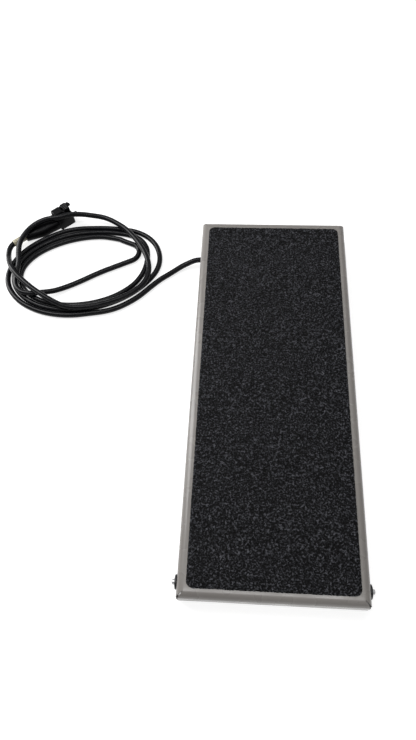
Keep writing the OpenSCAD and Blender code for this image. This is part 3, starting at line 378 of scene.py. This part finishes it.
def worn_finish(name, dark, light, patch, rough, grain, height, metallic=0.0,
                specular=0.5):
    """Finish with soft patches of two colours patch across the metre, roughness that
    wanders between two values, and a fine grain of that height."""
    finish, tree, shader, node = new_finish(name)
    where = place_of(node)
    clouds = node("ShaderNodeTexNoise", Vector=where, Scale=patch, Detail=4.0,
                  Roughness=0.6).outputs["Fac"]
    smears = node("ShaderNodeTexNoise", Vector=where, Scale=patch * 3.1, Detail=3.0,
                  Roughness=0.55).outputs["Fac"]
    fine = node("ShaderNodeTexNoise", Vector=where, Scale=grain, Detail=2.0,
                Roughness=0.5).outputs["Fac"]
    tree.links.new(colour_between(node, between(node, clouds, 0, 1), dark, light),
                   shader.inputs["Base Color"])
    tree.links.new(between(node, smears, *rough), shader.inputs["Roughness"])
    bump = node("ShaderNodeBump", Height=fine, Strength=1.0, Distance=height)
    tree.links.new(bump.outputs["Normal"], shader.inputs["Normal"])
    shader.inputs["Metallic"].default_value = metallic
    shader.inputs["Specular IOR Level"].default_value = specular
    return finish


def grit_finish():
    """Black mineral grit: worm-like grains, each a little lighter or darker, some of
    them glossy. The low ground between the raised grains is nearly black: a dark binder with
    painted shade in the pits."""
    finish, tree, shader, node = new_finish("black_grit")
    where = place_of(node)
    worms = node("ShaderNodeTexNoise", Vector=where, Scale=800.0, Detail=1.0,
                 Roughness=0.5, Distortion=0.5)
    raised = node("ShaderNodeMapRange", Value=worms.outputs["Fac"], From_Min=0.47,
                  From_Max=0.65, To_Min=0.0, To_Max=1.0)
    grains = node("ShaderNodeTexVoronoi", Vector=where, Scale=750.0)
    tint = node("ShaderNodeSeparateColor", Color=grains.outputs["Color"])
    share = node("ShaderNodeMapRange", Value=tint.outputs["Red"], To_Min=0.15, To_Max=1.0)
    grain_tone_with_pit_shade = node("ShaderNodeMath", Value=raised.outputs["Result"])
    grain_tone_with_pit_shade.operation = "MULTIPLY"
    tree.links.new(share.outputs["Result"], grain_tone_with_pit_shade.inputs[1])
    # Painted shade: colour follows the raised grains, and the low ground between them goes
    # nearly black, partly the binder's dark colour, partly painted shade in the pits.
    tree.links.new(
        colour_between(node, grain_tone_with_pit_shade.outputs["Value"], (0.0005, 0.0005, 0.0008),
                       (0.088, 0.090, 0.102)),
        shader.inputs["Base Color"])
    gloss = node("ShaderNodeMapRange", Value=tint.outputs["Green"], To_Min=0.4, To_Max=0.8)
    tree.links.new(gloss.outputs["Result"], shader.inputs["Roughness"])
    fine = node("ShaderNodeTexNoise", Vector=where, Scale=1500.0, Detail=3.0,
                Roughness=0.65)
    relief = node("ShaderNodeMath", Value=fine.outputs["Fac"])
    relief.operation = "ADD"
    tree.links.new(raised.outputs["Result"], relief.inputs[1])
    bump = node("ShaderNodeBump", Height=relief.outputs["Value"], Strength=1.0,
                Distance=0.0006)
    tree.links.new(bump.outputs["Normal"], shader.inputs["Normal"])
    shader.inputs["Specular IOR Level"].default_value = 0.12
    return finish


def zinc_finish():
    """Zinc plate: flat crystals of slightly different grey and gloss."""
    finish, tree, shader, node = new_finish("zinc_plate")
    where = place_of(node)
    warp = node("ShaderNodeTexNoise", Vector=where, Scale=60.0, Detail=3.0)
    bent = node("ShaderNodeMix", Factor=0.03)
    bent.data_type = "VECTOR"
    vectors = [s for s in bent.inputs if s.type == "VECTOR"]
    tree.links.new(where, vectors[0])
    tree.links.new(warp.outputs["Color"], vectors[1])
    bent_out = [s for s in bent.outputs if s.type == "VECTOR"][0]
    crystals = node("ShaderNodeTexVoronoi", Vector=bent_out, Scale=130.0)
    tint = node("ShaderNodeSeparateColor", Color=crystals.outputs["Color"])
    tree.links.new(
        colour_between(node, tint.outputs["Red"], (0.42, 0.43, 0.44), (0.58, 0.59, 0.60)),
        shader.inputs["Base Color"])
    tree.links.new(between(node, tint.outputs["Green"], 0.3, 0.5),
                   shader.inputs["Roughness"])
    fine = node("ShaderNodeTexNoise", Vector=where, Scale=700.0, Detail=2.0)
    bump = node("ShaderNodeBump", Height=fine.outputs["Fac"], Strength=1.0,
                Distance=0.00002)
    tree.links.new(bump.outputs["Normal"], shader.inputs["Normal"])
    shader.inputs["Metallic"].default_value = 1.0
    return finish


grey_paint = worn_finish("warm_grey_paint", (0.158, 0.147, 0.138), (0.192, 0.180, 0.168),
                         14, (0.2, 0.34), 700, 0.000016)
black_grit = grit_finish()
zinc_plate = zinc_finish()
bright_steel = worn_finish("bright_steel", (0.48, 0.48, 0.49), (0.66, 0.66, 0.67), 90,
                           (0.18, 0.34), 2600, 0.00001, metallic=1.0)
black_steel = worn_finish("black_steel", (0.005, 0.005, 0.006), (0.013, 0.013, 0.014), 160,
                          (0.28, 0.45), 1800, 0.00002, specular=0.4)
black_rubber = worn_finish("black_rubber", (0.006, 0.006, 0.007), (0.012, 0.012, 0.012), 70,
                           (0.6, 0.78), 900, 0.00006, specular=0.2)
white_nylon = worn_finish("white_nylon", (0.66, 0.63, 0.55), (0.74, 0.71, 0.64), 80,
                          (0.38, 0.5), 1400, 0.00002)
black_plastic = worn_finish("black_plastic", (0.009, 0.009, 0.011), (0.02, 0.02, 0.022), 120,
                            (0.38, 0.52), 1600, 0.00003)
red_plastic = worn_finish("red_plastic", (0.42, 0.02, 0.015), (0.5, 0.035, 0.02), 300,
                          (0.3, 0.42), 2000, 0.00002)
contact_brass = worn_finish("contact_brass", (0.55, 0.36, 0.13), (0.7, 0.5, 0.2), 200,
                            (0.22, 0.38), 2600, 0.00001, metallic=1.0)
black_sheath = worn_finish("black_sheath", (0.0010, 0.0011, 0.0018),
                           (0.0024, 0.0026, 0.0038), 40, (0.2, 0.3), 2200, 0.00001,
                           specular=0.18)
brown_lead = worn_finish("brown_lead", (0.12, 0.05, 0.02), (0.16, 0.07, 0.03), 120,
                         (0.35, 0.5), 2200, 0.00002)
blue_lead = worn_finish("blue_lead", (0.02, 0.07, 0.3), (0.03, 0.1, 0.38), 120,
                        (0.35, 0.5), 2200, 0.00002)
grey_lead = worn_finish("grey_lead", (0.26, 0.26, 0.27), (0.34, 0.34, 0.35), 120,
                        (0.35, 0.5), 2200, 0.00002)
ivory_sleeve = worn_finish("ivory_sleeve", (0.24, 0.22, 0.15), (0.33, 0.30, 0.21), 220,
                           (0.4, 0.55), 1900, 0.00003)
plug_plastic = worn_finish("plug_plastic", (0.0010, 0.0010, 0.0015),
                           (0.0030, 0.0030, 0.0038), 160, (0.3, 0.42), 2000, 0.00002,
                           specular=0.12)
seal_rubber = worn_finish("seal_rubber", (0.4, 0.11, 0.03), (0.5, 0.15, 0.05), 240,
                          (0.45, 0.6), 1800, 0.00003)


# ---- treadle ----

def fold_rows(radius, bottom):
    """Fold of one side from the top face: a quarter arc, then straight down. Gives
    out from the fold line and down from the top face, each as rows by columns."""
    arc = np.radians(np.linspace(0, 90, 11))[:, None]
    steps = np.array([6.4, OPEN_DEPTH - OPEN_BLEND, OPEN_DEPTH + OPEN_BLEND])[:, None]
    share = np.linspace(0, 1, 6)[1:, None]
    flat = np.ones_like(bottom)
    out = np.concatenate([radius * np.sin(arc) * flat, radius * np.ones((8, 1)) * flat])
    down = np.concatenate([
        (FOLD_R - radius * np.cos(arc)) * flat, steps * flat,
        steps[-1] + (bottom - steps[-1]) * share,
    ])
    return out, down


def folded_side(along, half, bottom, to_place):
    """Sheet of one side. along runs over the side from -1 to 1 and half is half its
    fold line. Near its ends the side widens with the fold, less an opening that is
    wide down to OPEN_DEPTH and a slit below it."""
    faces = []
    for radius in (FOLD_R, FOLD_R - TREAD_T):
        out, down = fold_rows(radius, bottom)
        shut = np.clip((down - OPEN_DEPTH + OPEN_BLEND) / (2 * OPEN_BLEND), 0, 1)
        cut = CORNER_OPEN + (CORNER_SLIT - CORNER_OPEN) * shut
        ends = np.sign(along) * np.abs(along) ** 24
        run = along * half + ends * out * (1 - cut / FOLD_R)
        faces.append(to_place(run, out, down))
    return shell(*faces, skip_first_row=True)


def stop_lip():
    """Lip under the toe side: a quarter bend inward, then flat."""
    y, low = TREAD_L / 2, TOP_Z - TREAD_H
    bend = np.radians(np.linspace(0, -90, 7))
    faces = []
    for radius in (LIP_R, LIP_R - TREAD_T):
        path_y = np.append(y - LIP_R + radius * np.cos(bend), y - TREAD_T - LIP_L)
        path_z = np.append(low + LIP_R + radius * np.sin(bend), low + LIP_R - radius)
        x = np.linspace(-LIP_W / 2, LIP_W / 2, 9)
        faces.append(np.stack(np.broadcast_arrays(
            x[None, :], path_y[:, None], path_z[:, None]), -1).astype(float))
    return shell(*faces)


def treadle_sheet():
    """Top panel between the fold lines, four folded sides and the stop lip."""
    half_x, half_y = TREAD_W / 2 - FOLD_R, TREAD_L / 2 - FOLD_R
    ends = [0.9, 0.95, 0.98, 1.0]
    notch = (NOTCH_Y + np.array([-4.4, -4.1, -3.6, -2.6, -1.3, 0, 1.3, 2.6, 3.6, 4.1, 4.4])) \
        / half_y
    lip = LIP_W / 2 / half_x + np.array([0.0, 0.005])
    along_y = np.unique(np.concatenate([
        -np.array(ends), np.linspace(-0.85, 0.75, 17), notch, ends]))
    along_x = np.unique(np.concatenate([
        -np.array(ends), -lip, np.linspace(-0.7, 0.7, 9), lip, ends]))

    full = np.full_like(along_y, TREAD_H)
    off = (along_y * half_y - NOTCH_Y) / (NOTCH_W / 2)
    arch = NOTCH_TOP - NOTCH_W / 2 + NOTCH_W / 2 * np.sqrt(np.clip(1 - off ** 2, 0, 1))
    notched = np.where(np.abs(off) < 1.001, TOP_Z - arch, TREAD_H)
    plain = np.full_like(along_x, TREAD_H)
    over_lip = np.where(np.abs(along_x * half_x) < LIP_W / 2 + 0.01, TREAD_H - LIP_R, TREAD_H)

    sides = []
    for sign, bottom in ((-1, notched), (1, full)):
        sides += folded_side(along_y, half_y, bottom, lambda run, out, down: np.stack(
            [sign * (half_x + out), run, TOP_Z - down], -1))
    for sign, bottom in ((-1, plain), (1, over_lip)):
        sides += folded_side(along_x, half_x, bottom, lambda run, out, down: np.stack(
            [run, sign * (half_y + out), TOP_Z - down], -1))
    panel = [
        np.stack(np.broadcast_arrays(
            along_x[None, :] * half_x, along_y[:, None] * half_y, z), -1).astype(float)
        for z in (TOP_Z, TOP_Z - TREAD_T)
    ]
    piece = piece_from("treadle_sheet", placed(panel + sides + stop_lip(), tilted))
    round_edges(piece, 0.3 * MM)
    return piece


def grain_field(rows, cols, pitch, size, seed):
    """Seeded noise with lumps of about the given size, from -1 to 1."""
    noise = np.random.default_rng(seed).standard_normal((rows, cols))
    fy = np.fft.fftfreq(rows, pitch)[:, None]
    fx = np.fft.fftfreq(cols, pitch)[None, :]
    wave = np.hypot(fx, fy) * size
    band = np.exp(-((wave - 1) / 0.45) ** 2)
    field = np.fft.ifft2(np.fft.fft2(noise) * band).real
    return field / np.abs(field).std() / 2.5


def grit_mat():
    """Grit mat: a height over a grid whose rows are as wide as a rectangle with
    round corners. Lumps stand on a binder that thins towards the ragged edge."""
    length, width = TREAD_L - MAT_HEEL - MAT_TOE, TREAD_W - 2 * MAT_SIDE
    pitch, edge_width, ragged_by = 0.84, 1.3, 0.22
    rows, cols = int(length / pitch), int(width / pitch)
    v = np.linspace(-1, 1, rows)
    y = v * length / 2
    past = np.clip(np.abs(y) - (length / 2 - MAT_R), 0, MAT_R)
    half = width / 2 - MAT_R + np.sqrt(MAT_R ** 2 - past ** 2)
    u = np.linspace(-1, 1, cols)
    x = u[None, :] * half[:, None]
    y = y[:, None] * np.ones((1, cols))
    ragged = grain_field(rows, cols, pitch, 3.2, 5)
    inset = np.minimum(
        half[:, None] - np.abs(x),
        length / 2 - np.abs(y),
    )
    edge = np.clip(inset / edge_width, 0, 1)
    shift = ragged_by * np.clip(ragged, -1, 1) * (1 - edge)
    x = x * (1 - np.abs(shift) / (width / 2))
    y = y * (1 - np.abs(np.roll(shift, 7)) / (length / 2) * 2)
    lumps = grain_field(rows, cols, pitch, 2.3, 11)
    coarse = grain_field(rows, cols, pitch, 5.5, 12)
    relief = 0.78 + 0.30 * np.tanh(1.5 * lumps) + 0.06 * coarse
    top = np.clip(relief, 0.25, 1.18) * (0.45 + 0.55 * np.sqrt(edge))
    middle_y = -TREAD_L / 2 + MAT_HEEL + length / 2
    upper = np.stack([x, middle_y + y, TOP_Z + top], -1)
    lower = upper.copy()
    lower[..., 2] = TOP_Z - 0.05
    skirt = [np.stack([upper[i], lower[i]]) for i in (0, -1)]
    skirt += [np.stack([upper[:, j], lower[:, j]]) for j in (0, -1)]
    points, faces, first = [], [], 0
    for patch in [upper] + skirt:
        points.append(patch.reshape(-1, 3))
        faces += (grid_faces(*patch.shape[:2], False) + first).tolist()
        first += patch.shape[0] * patch.shape[1]
    rim = np.concatenate([lower[0], lower[1:, -1], lower[-1, -2::-1], lower[-2:0:-1, 0]])
    points.append(rim)
    faces.append(list(range(first, first + len(rim))))
    mesh = bpy.data.meshes.new("grit_mat_sheet")
    mesh.from_pydata((tilted(np.vstack(points)) * MM).tolist(), [], faces)
    return welded("grit_mat_sheet", mesh, 1e-6)


def hinge_pin():
    """Straight rod with domed ends."""
    radius, dome = ROD_D / 2, 0.9
    turn = np.radians(np.linspace(0, 90, 9))
    end = np.stack([radius * np.sin(turn), ROD_HALF - dome + dome * np.cos(turn)], 1)
    start = end[::-1] * [1, -1]
    spans = np.stack([np.full(7, radius), np.linspace(-60, 60, 7)], 1)
    profile = np.vstack([start, spans, end])
    order = np.argsort(profile[:, 1], kind="stable")
    patch = turned(profile[order], (0, HINGE_Y, HINGE_Z), (1, 0, 0), 48)
    return piece_from("hinge_pin", [patch * MM], loop_cols=True)


def push_on_cap(name, sign):
    """Domed sheet washer pushed on the rod: a closed profile turned round, its
    inner edge opened by six short grip slots."""
    rim, bore = RETAINER_D / 2, ROD_D / 2 + 0.05
    outer = [(rim - RETAINER_SHEET, 0), (rim - 0.12, 0), (rim, 0.14), (rim, 1.2),
             (rim - 0.1, 1.42), (rim - 0.35, 1.56), (rim * 0.76, 1.66), (rim * 0.62, 1.86),
             (rim * 0.55, 1.95), (rim * 0.47, RETAINER_T), (bore + 0.12, RETAINER_T),
             (bore, RETAINER_T - 0.12)]
    inner = [(bore, 0.8), (bore + 0.1, 0.7), (bore + 0.4, 0.7), (bore + RETAINER_SHEET, 0.8),
             (bore + RETAINER_SHEET, 1.5), (rim * 0.5, 1.5), (rim * 0.68, 1.22),
             (rim - 0.7, 1.1), (rim - RETAINER_SHEET, 0.9), (rim - RETAINER_SHEET, 0)]

    def slots(radius, height, angle):
        near = np.clip(1 - np.abs((angle * 6 / (2 * math.pi)) % 1 - 0.5) / 0.09, 0, 1)
        reach = np.clip((rim * 0.6 - radius) / (rim * 0.6 - bore), 0, 1)
        return radius, height - 0.28 * near * np.sqrt(reach) * (height > 1.45)

    patch = turned(outer + inner, (sign * TREAD_W / 2, HINGE_Y, HINGE_Z), (sign, 0, 0), 96,
                   slots)
    return piece_from(name, [patch * MM], loop_cols=True, merge=2e-6)


settle(treadle_sheet(), "treadle", "treadle_paint", grey_paint, "treadle_tray")
settle(grit_mat(), "treadle", "grit_mat", black_grit, "grip_mat")
settle(hinge_pin(), "treadle", "bright_steel", bright_steel, "hinge_rod")
for side, sign in (("left", -1), ("right", 1)):
    settle(push_on_cap("push_on_cap_" + side, sign), "treadle", "black_steel", black_steel,
           "rod_retainer_" + side)


# ---- return springs ----

def return_spring(name, sign):
    """Coil spring: a helix whose end turns lie flat, its wire a circle carried
    along it."""
    flat_turns, steps = 0.7, 40
    turns = np.linspace(0, SPRING_TURNS, SPRING_TURNS * steps + 1)
    rise = np.clip((turns - flat_turns) / (SPRING_TURNS - 2 * flat_turns), 0, 1)
    rise = rise * rise * (3 - 2 * rise) * 0.25 + rise * 0.75
    angle = 2 * math.pi * turns
    outward = np.stack([np.cos(angle), np.sin(angle), np.zeros_like(angle)], 1)
    path = outward * SPRING_R + [sign * SPRING_X, SPRING_Y, SPRING_FOOT + SPRING_WIRE / 2]
    path[:, 2] += (SPRING_TALL - SPRING_WIRE) * rise
    return piece_from(name, [swept(path, outward, SPRING_WIRE / 2) * MM], loop_cols=True)


for side, sign in (("left", -1), ("right", 1)):
    spring = return_spring("coil_spring_" + side, sign)
    settle(spring, "base", "bright_steel", bright_steel, "return_spring_" + side)
    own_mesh(spring)


# ---- plug ----

def rounded_section(x, half_w, half_h, mid_y, mid_z, power, sides=48):
    """Rings across the plug: |y/w|^n + |z/h|^n = 1, n going from round to square."""
    angle = np.linspace(0, 2 * math.pi, sides, endpoint=False)[None, :]
    x, half_w, half_h, mid_y, mid_z, power = (
        np.atleast_1d(np.asarray(v, float))[:, None]
        for v in np.broadcast_arrays(x, half_w, half_h, mid_y, mid_z, power))
    cos, sin = np.cos(angle), np.sin(angle)
    y = mid_y + half_w * np.sign(cos) * np.abs(cos) ** (2 / power)
    z = mid_z + half_h * np.sign(sin) * np.abs(sin) ** (2 / power)
    return np.stack([x * np.ones_like(y), y, z], -1)


def rounded_bar(x0, x1, y0, y1, z0, z1, edge, power=7.0):
    """Block with rounded edges: square-ish rings along x, drawn in at both ends."""
    turn = np.radians(np.linspace(0, 90, 5))
    x = np.concatenate([x0 + edge * (1 - np.sin(turn)[::-1]), x1 - edge * (1 - np.sin(turn))])
    draw = edge * np.concatenate([1 - np.cos(turn)[::-1], 1 - np.cos(turn)])
    half_w, half_h = (y1 - y0) / 2 - draw, (z1 - z0) / 2 - draw
    x = np.concatenate([[x[0]], x, [x[-1]]])
    half_w = np.concatenate([[0], half_w, [0]])
    half_h = np.concatenate([[0], half_h, [0]])
    return rounded_section(x, half_w, half_h, (y0 + y1) / 2, (z0 + z1) / 2, power)


def moulded_boot():
    """Boot: rings that go from the round neck, to one side of the axis, through a
    waist to the rounded square plug end."""
    x = np.array([0, 0, 0.25, 0.7, 2, 5, 8, 11, 14, 17, 21, 25, 29, BOOT_L - 2, BOOT_L - 1,
                  BOOT_L - 0.4, BOOT_L, BOOT_L])
    first = np.clip(x / (BOOT_L * 0.5), 0, 1)
    late = np.clip(x / (BOOT_L * 0.5) - 1, 0, 1)
    grow = first * first * (3 - 2 * first) * 0.4 + first * 0.6
    half_w = BOOT_NECK + (BOOT_W * 0.44 - BOOT_NECK) * grow + BOOT_W * 0.06 * late
    half_h = BOOT_NECK + (BOOT_H * 0.46 - BOOT_NECK) * grow + BOOT_H * 0.04 * late
    mid_y = NECK_SHIFT * (1 - 0.8 * grow - 0.2 * late)
    mid_z = PLUG_AXIS_Z - 0.2 * grow + 0.2 * late
    draw = np.zeros_like(x)
    draw[[1, 2, -3, -2]] = 0.35, 0.1, 0.12, 0.45
    half_w, half_h = half_w - draw, half_h - draw
    half_w[[0, -1]] = half_h[[0, -1]] = 0
    return rounded_section(x, half_w, half_h, mid_y, mid_z, 2 + 2.4 * first)


def latch_tunnel(x0, x1):
    """Finger tunnel: an arch with round shoulders carried along the plug."""
    faces = []
    for inset in (0.0, LATCH_WALL):
        radius = 2.2 - inset * 0.8
        half, high = LATCH_W / 2 - inset, LATCH_H - inset
        turn = np.radians(np.linspace(0, 90, 7))
        y = np.concatenate([[-half], -half + radius * (1 - np.cos(turn)),
                            half - radius * (1 - np.cos(turn[::-1])), [half]])
        z = np.concatenate([[-0.1], high - radius * (1 - np.sin(turn)),
                            high - radius * (1 - np.sin(turn[::-1])), [-0.1]])
        x = np.linspace(x0, x1, 5)
        faces.append(np.stack(np.broadcast_arrays(
            x[None, :], y[:, None] + LATCH_MID, PLUG_H + z[:, None]), -1).astype(float))
    return shell(*faces)


def latch_ridge(x0, x1):
    """Press ridge: square-ish rings whose height dips in three finger grooves."""
    x = np.linspace(x0, x1, 33)
    ends = np.minimum(x - x0, x1 - x)
    draw = 0.5 * (1 - np.sqrt(np.clip(1 - (1 - np.clip(ends / 0.5, 0, 1)) ** 2, 0, 1)))
    groove = 0.3 * np.clip(np.cos((x - x0) / (x1 - x0) * 3 * 2 * math.pi), 0, 1)
    half_w = LATCH_W / 2 - draw
    half_h = LATCH_H * 0.25 - draw - groove / 2
    mid_z = PLUG_H + LATCH_H * 0.75 - groove / 2
    x = np.concatenate([x[:1], x, x[-1:]])
    half_w = np.concatenate([[0], half_w, [0]])
    half_h = np.concatenate([[0], half_h, [0]])
    mid_z = np.concatenate([mid_z[:1], mid_z, mid_z[-1:]])
    return rounded_section(x, half_w, half_h, LATCH_MID, mid_z, 6.0)


def latch():
    """Tunnel, two rails, press ridge and the catch that reaches past the face."""
    end_x = BOOT_L + PLUG_L
    tunnel_end, ridge_start = BOOT_L + PLUG_L * 0.52, end_x - PLUG_L * 0.36
    low, high = LATCH_MID - LATCH_W / 2, LATCH_MID + LATCH_W / 2
    rail_w, lap, catch_half, catch_reach = 2.2, 0.6, 1.3, 3
    rail_top = PLUG_H + LATCH_H * 0.55
    piece = piece_from("plug_latch", placed(latch_tunnel(BOOT_L + 0.02, tunnel_end), on_plug))
    bars = [
        rounded_bar(tunnel_end - lap, end_x, low, low + rail_w, PLUG_H - 0.1, rail_top, 0.3),
        rounded_bar(tunnel_end - lap, end_x, high - rail_w, high, PLUG_H - 0.1, rail_top, 0.3),
        latch_ridge(ridge_start, end_x),
        rounded_bar(end_x - 1.0, end_x + catch_reach, LATCH_MID - catch_half,
                    LATCH_MID + catch_half, PLUG_H + LATCH_H * 0.5, PLUG_H + LATCH_H, 0.4),
    ]
    rest = piece_from("plug_latch_bars", placed(bars, on_plug), loop_cols=True)
    work = bmesh.new()
    work.from_mesh(piece.data)
    work.from_mesh(rest.data)
    work.to_mesh(piece.data)
    work.free()
    bpy.data.objects.remove(rest)
    round_edges(piece, 0.35 * MM, 3, 50)
    return piece


def cable_sleeve():
    """Short soft sleeve on the cable: a closed tube profile turned round."""
    bore, out = SLEEVE_BORE / 2, SLEEVE_D / 2
    profile = [(bore, 0), (out - 0.15, 0), (out, 0.15), (out, 3), (out, 7),
               (out, SLEEVE_L - 0.15), (out - 0.15, SLEEVE_L), (bore, SLEEVE_L), (bore, 7),
               (bore, 0)]
    patch = turned(profile, sleeve_at, (neck_at - sleeve_at) / SLEEVE_L, 48)
    return piece_from("cable_sleeve", [patch * MM], loop_cols=True)


plug_boot = piece_from("plug_boot", placed([moulded_boot()], on_plug), loop_cols=True)
settle(plug_boot, "base", "plug_black", plug_plastic, "connector_boot")
plug_latch = latch()
settle(plug_latch, "base", "plug_black", plug_plastic, "connector_latch")
sleeve = cable_sleeve()
settle(sleeve, "base", "sleeve_ivory", ivory_sleeve, "marker_sleeve")


# ---- pieces that keep the solid's shape, with welded and rounded edges ----

def dressed(node, name, body, slot, finish, edge=0.0):
    """Welded copy of a solid, its flat faces whole, smooth where it is round and
    with a small radius on its edges."""
    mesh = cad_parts[node].data.copy()
    mesh.name = name
    work = bmesh.new()
    work.from_mesh(mesh)
    bmesh.ops.remove_doubles(work, verts=work.verts, dist=2e-6)
    bmesh.ops.dissolve_limit(work, angle_limit=math.radians(0.6), verts=work.verts,
                             edges=work.edges, delimit={"NORMAL"})
    bmesh.ops.recalc_face_normals(work, faces=work.faces)
    work.to_mesh(mesh)
    work.free()
    mesh.shade_smooth()
    mesh.set_sharp_from_angle(angle=math.radians(34))
    piece = bpy.data.objects.new(name, mesh)
    scene.collection.objects.link(piece)
    if edge:
        round_edges(piece, edge * MM)
    settle(piece, body, slot, finish, node)
    return piece


plug_body = dressed("connector_housing", "plug_body", "base", "plug_black", plug_plastic, 0.35)
plug_contacts = dressed("connector_terminals", "plug_contacts", "base", "contact_brass",
                        contact_brass, 0.08)
plug_seal = dressed("connector_seal", "plug_seal", "base", "seal_orange", seal_rubber, 0.3)
dressed("actuator_stud", "weld_stud", "treadle", "bright_steel", bright_steel, 0.1)
dressed("actuator_cap", "nylon_cap", "treadle", "nylon", white_nylon, 0.2)
dressed("spring_bosses", "spring_centres", "treadle", "bright_steel", bright_steel, 0.3)
dressed("base_tray", "base_sheet", "base", "base_zinc", zinc_plate, 0.2)
dressed("base_pad", "base_rubber", "base", "black_rubber", black_rubber, 0.2)
for side in ("left", "right"):
    dressed("hinge_bush_" + side, "nylon_bush_" + side, "base", "nylon", white_nylon, 0.15)
dressed("mounting_nuts", "press_nuts", "base", "bright_steel", bright_steel, 0.2)
dressed("spring_cups", "spring_seats", "base", "switch_black", black_plastic, 0.2)
dressed("bump_stops", "rubber_stops", "base", "black_rubber", black_rubber, 0.4)
dressed("switch_case", "switch_body", "base", "switch_black", black_plastic, 0.12)
dressed("switch_cover", "switch_lid", "base", "switch_black", black_plastic, 0.12)
dressed("switch_terminals", "switch_tags", "base", "contact_brass", contact_brass, 0.05)
dressed("switch_plunger", "switch_button", "plunger", "plunger_red", red_plastic)
dressed("snap_blade", "spring_blade", "blade", "contact_brass", contact_brass, 0.04)
dressed("switch_lever", "press_lever", "lever", "bright_steel", bright_steel, 0.06)
dressed("lever_pin", "pivot_pin", "base", "bright_steel", bright_steel, 0.1)
dressed("switch_bracket", "switch_angle", "base", "base_zinc", zinc_plate, 0.2)
dressed("switch_screws", "case_screws", "base", "bright_steel", bright_steel, 0.15)
dressed("bracket_screws", "angle_screws", "base", "bright_steel", bright_steel, 0.15)
dressed("clamp_screw", "saddle_screw", "base", "bright_steel", bright_steel, 0.15)
dressed("cable_clamp", "cable_saddle", "base", "switch_black", black_plastic, 0.2)
dressed("cable_grommet", "wall_grommet", "base", "black_rubber", black_rubber, 0.2)
dressed("cable_tail", "inner_cable", "base", "cable_black", black_sheath)
dressed("lead_common", "lead_to_post", "base", "lead_brown", brown_lead)
dressed("lead_open", "lead_to_open", "base", "lead_blue", blue_lead)
dressed("lead_closed", "lead_to_closed", "base", "lead_grey", grey_lead)

settle(cable, "base", "cable_black", black_sheath,
       "cable_lead", "cable_coil", "cable_chord", "cable_end")


# ---- floor and light ----

def pale_floor():
    """Wide level floor under the object."""
    side = np.linspace(-4, 4, 9)
    x, y = np.meshgrid(side, side, indexing="ij")
    mesh = bpy.data.meshes.new("floor")
    mesh.from_pydata(np.stack([x, y, np.zeros_like(x)], -1).reshape(-1, 3).tolist(), [],
                     grid_faces(9, 9, False).tolist())
    floor = bpy.data.objects.new("floor", mesh)
    scene.collection.objects.link(floor)
    paper = worn_finish("white_paper", (0.44, 0.44, 0.44), (0.48, 0.48, 0.48), 3,
                        (0.8, 0.9), 400, 0.00001)
    glow = paper.node_tree.nodes["Principled BSDF"].inputs
    glow["Emission Color"].default_value = (1, 1, 1, 1)
    glow["Emission Strength"].default_value = 0.7
    floor.data.materials.append(paper)


def soft_light(name, place, aim, size, power):
    """Soft box of two sides at a place, facing a point."""
    data = bpy.data.lights.new(name, "AREA")
    data.shape = "RECTANGLE"
    data.size, data.size_y = size
    data.energy = power
    lamp = bpy.data.objects.new(name, data)
    lamp.location = place
    lamp.rotation_euler = (Vector(place) - Vector(aim)).to_track_quat("Z", "Y").to_euler()
    scene.collection.objects.link(lamp)


pale_floor()
world = bpy.data.worlds.new("studio")
world.use_nodes = True
sky = world.node_tree.nodes["Background"].inputs
sky["Color"].default_value = (1, 1, 1, 1)
sky["Strength"].default_value = 0.38
scene.world = world
soft_light("key", (-0.72, 0.34, 0.56), (0, 0, 0), (0.4, 1.1), 10)
soft_light("top", (0.1, 0.7, 1.3), (0, 0, 0), (0.8, 0.8), 3)
soft_light("heel", (0.0, -0.20, 1.45), (0, -0.15, 0), (0.8, 0.1), 5.0)
scene.view_settings.view_transform = "Standard"
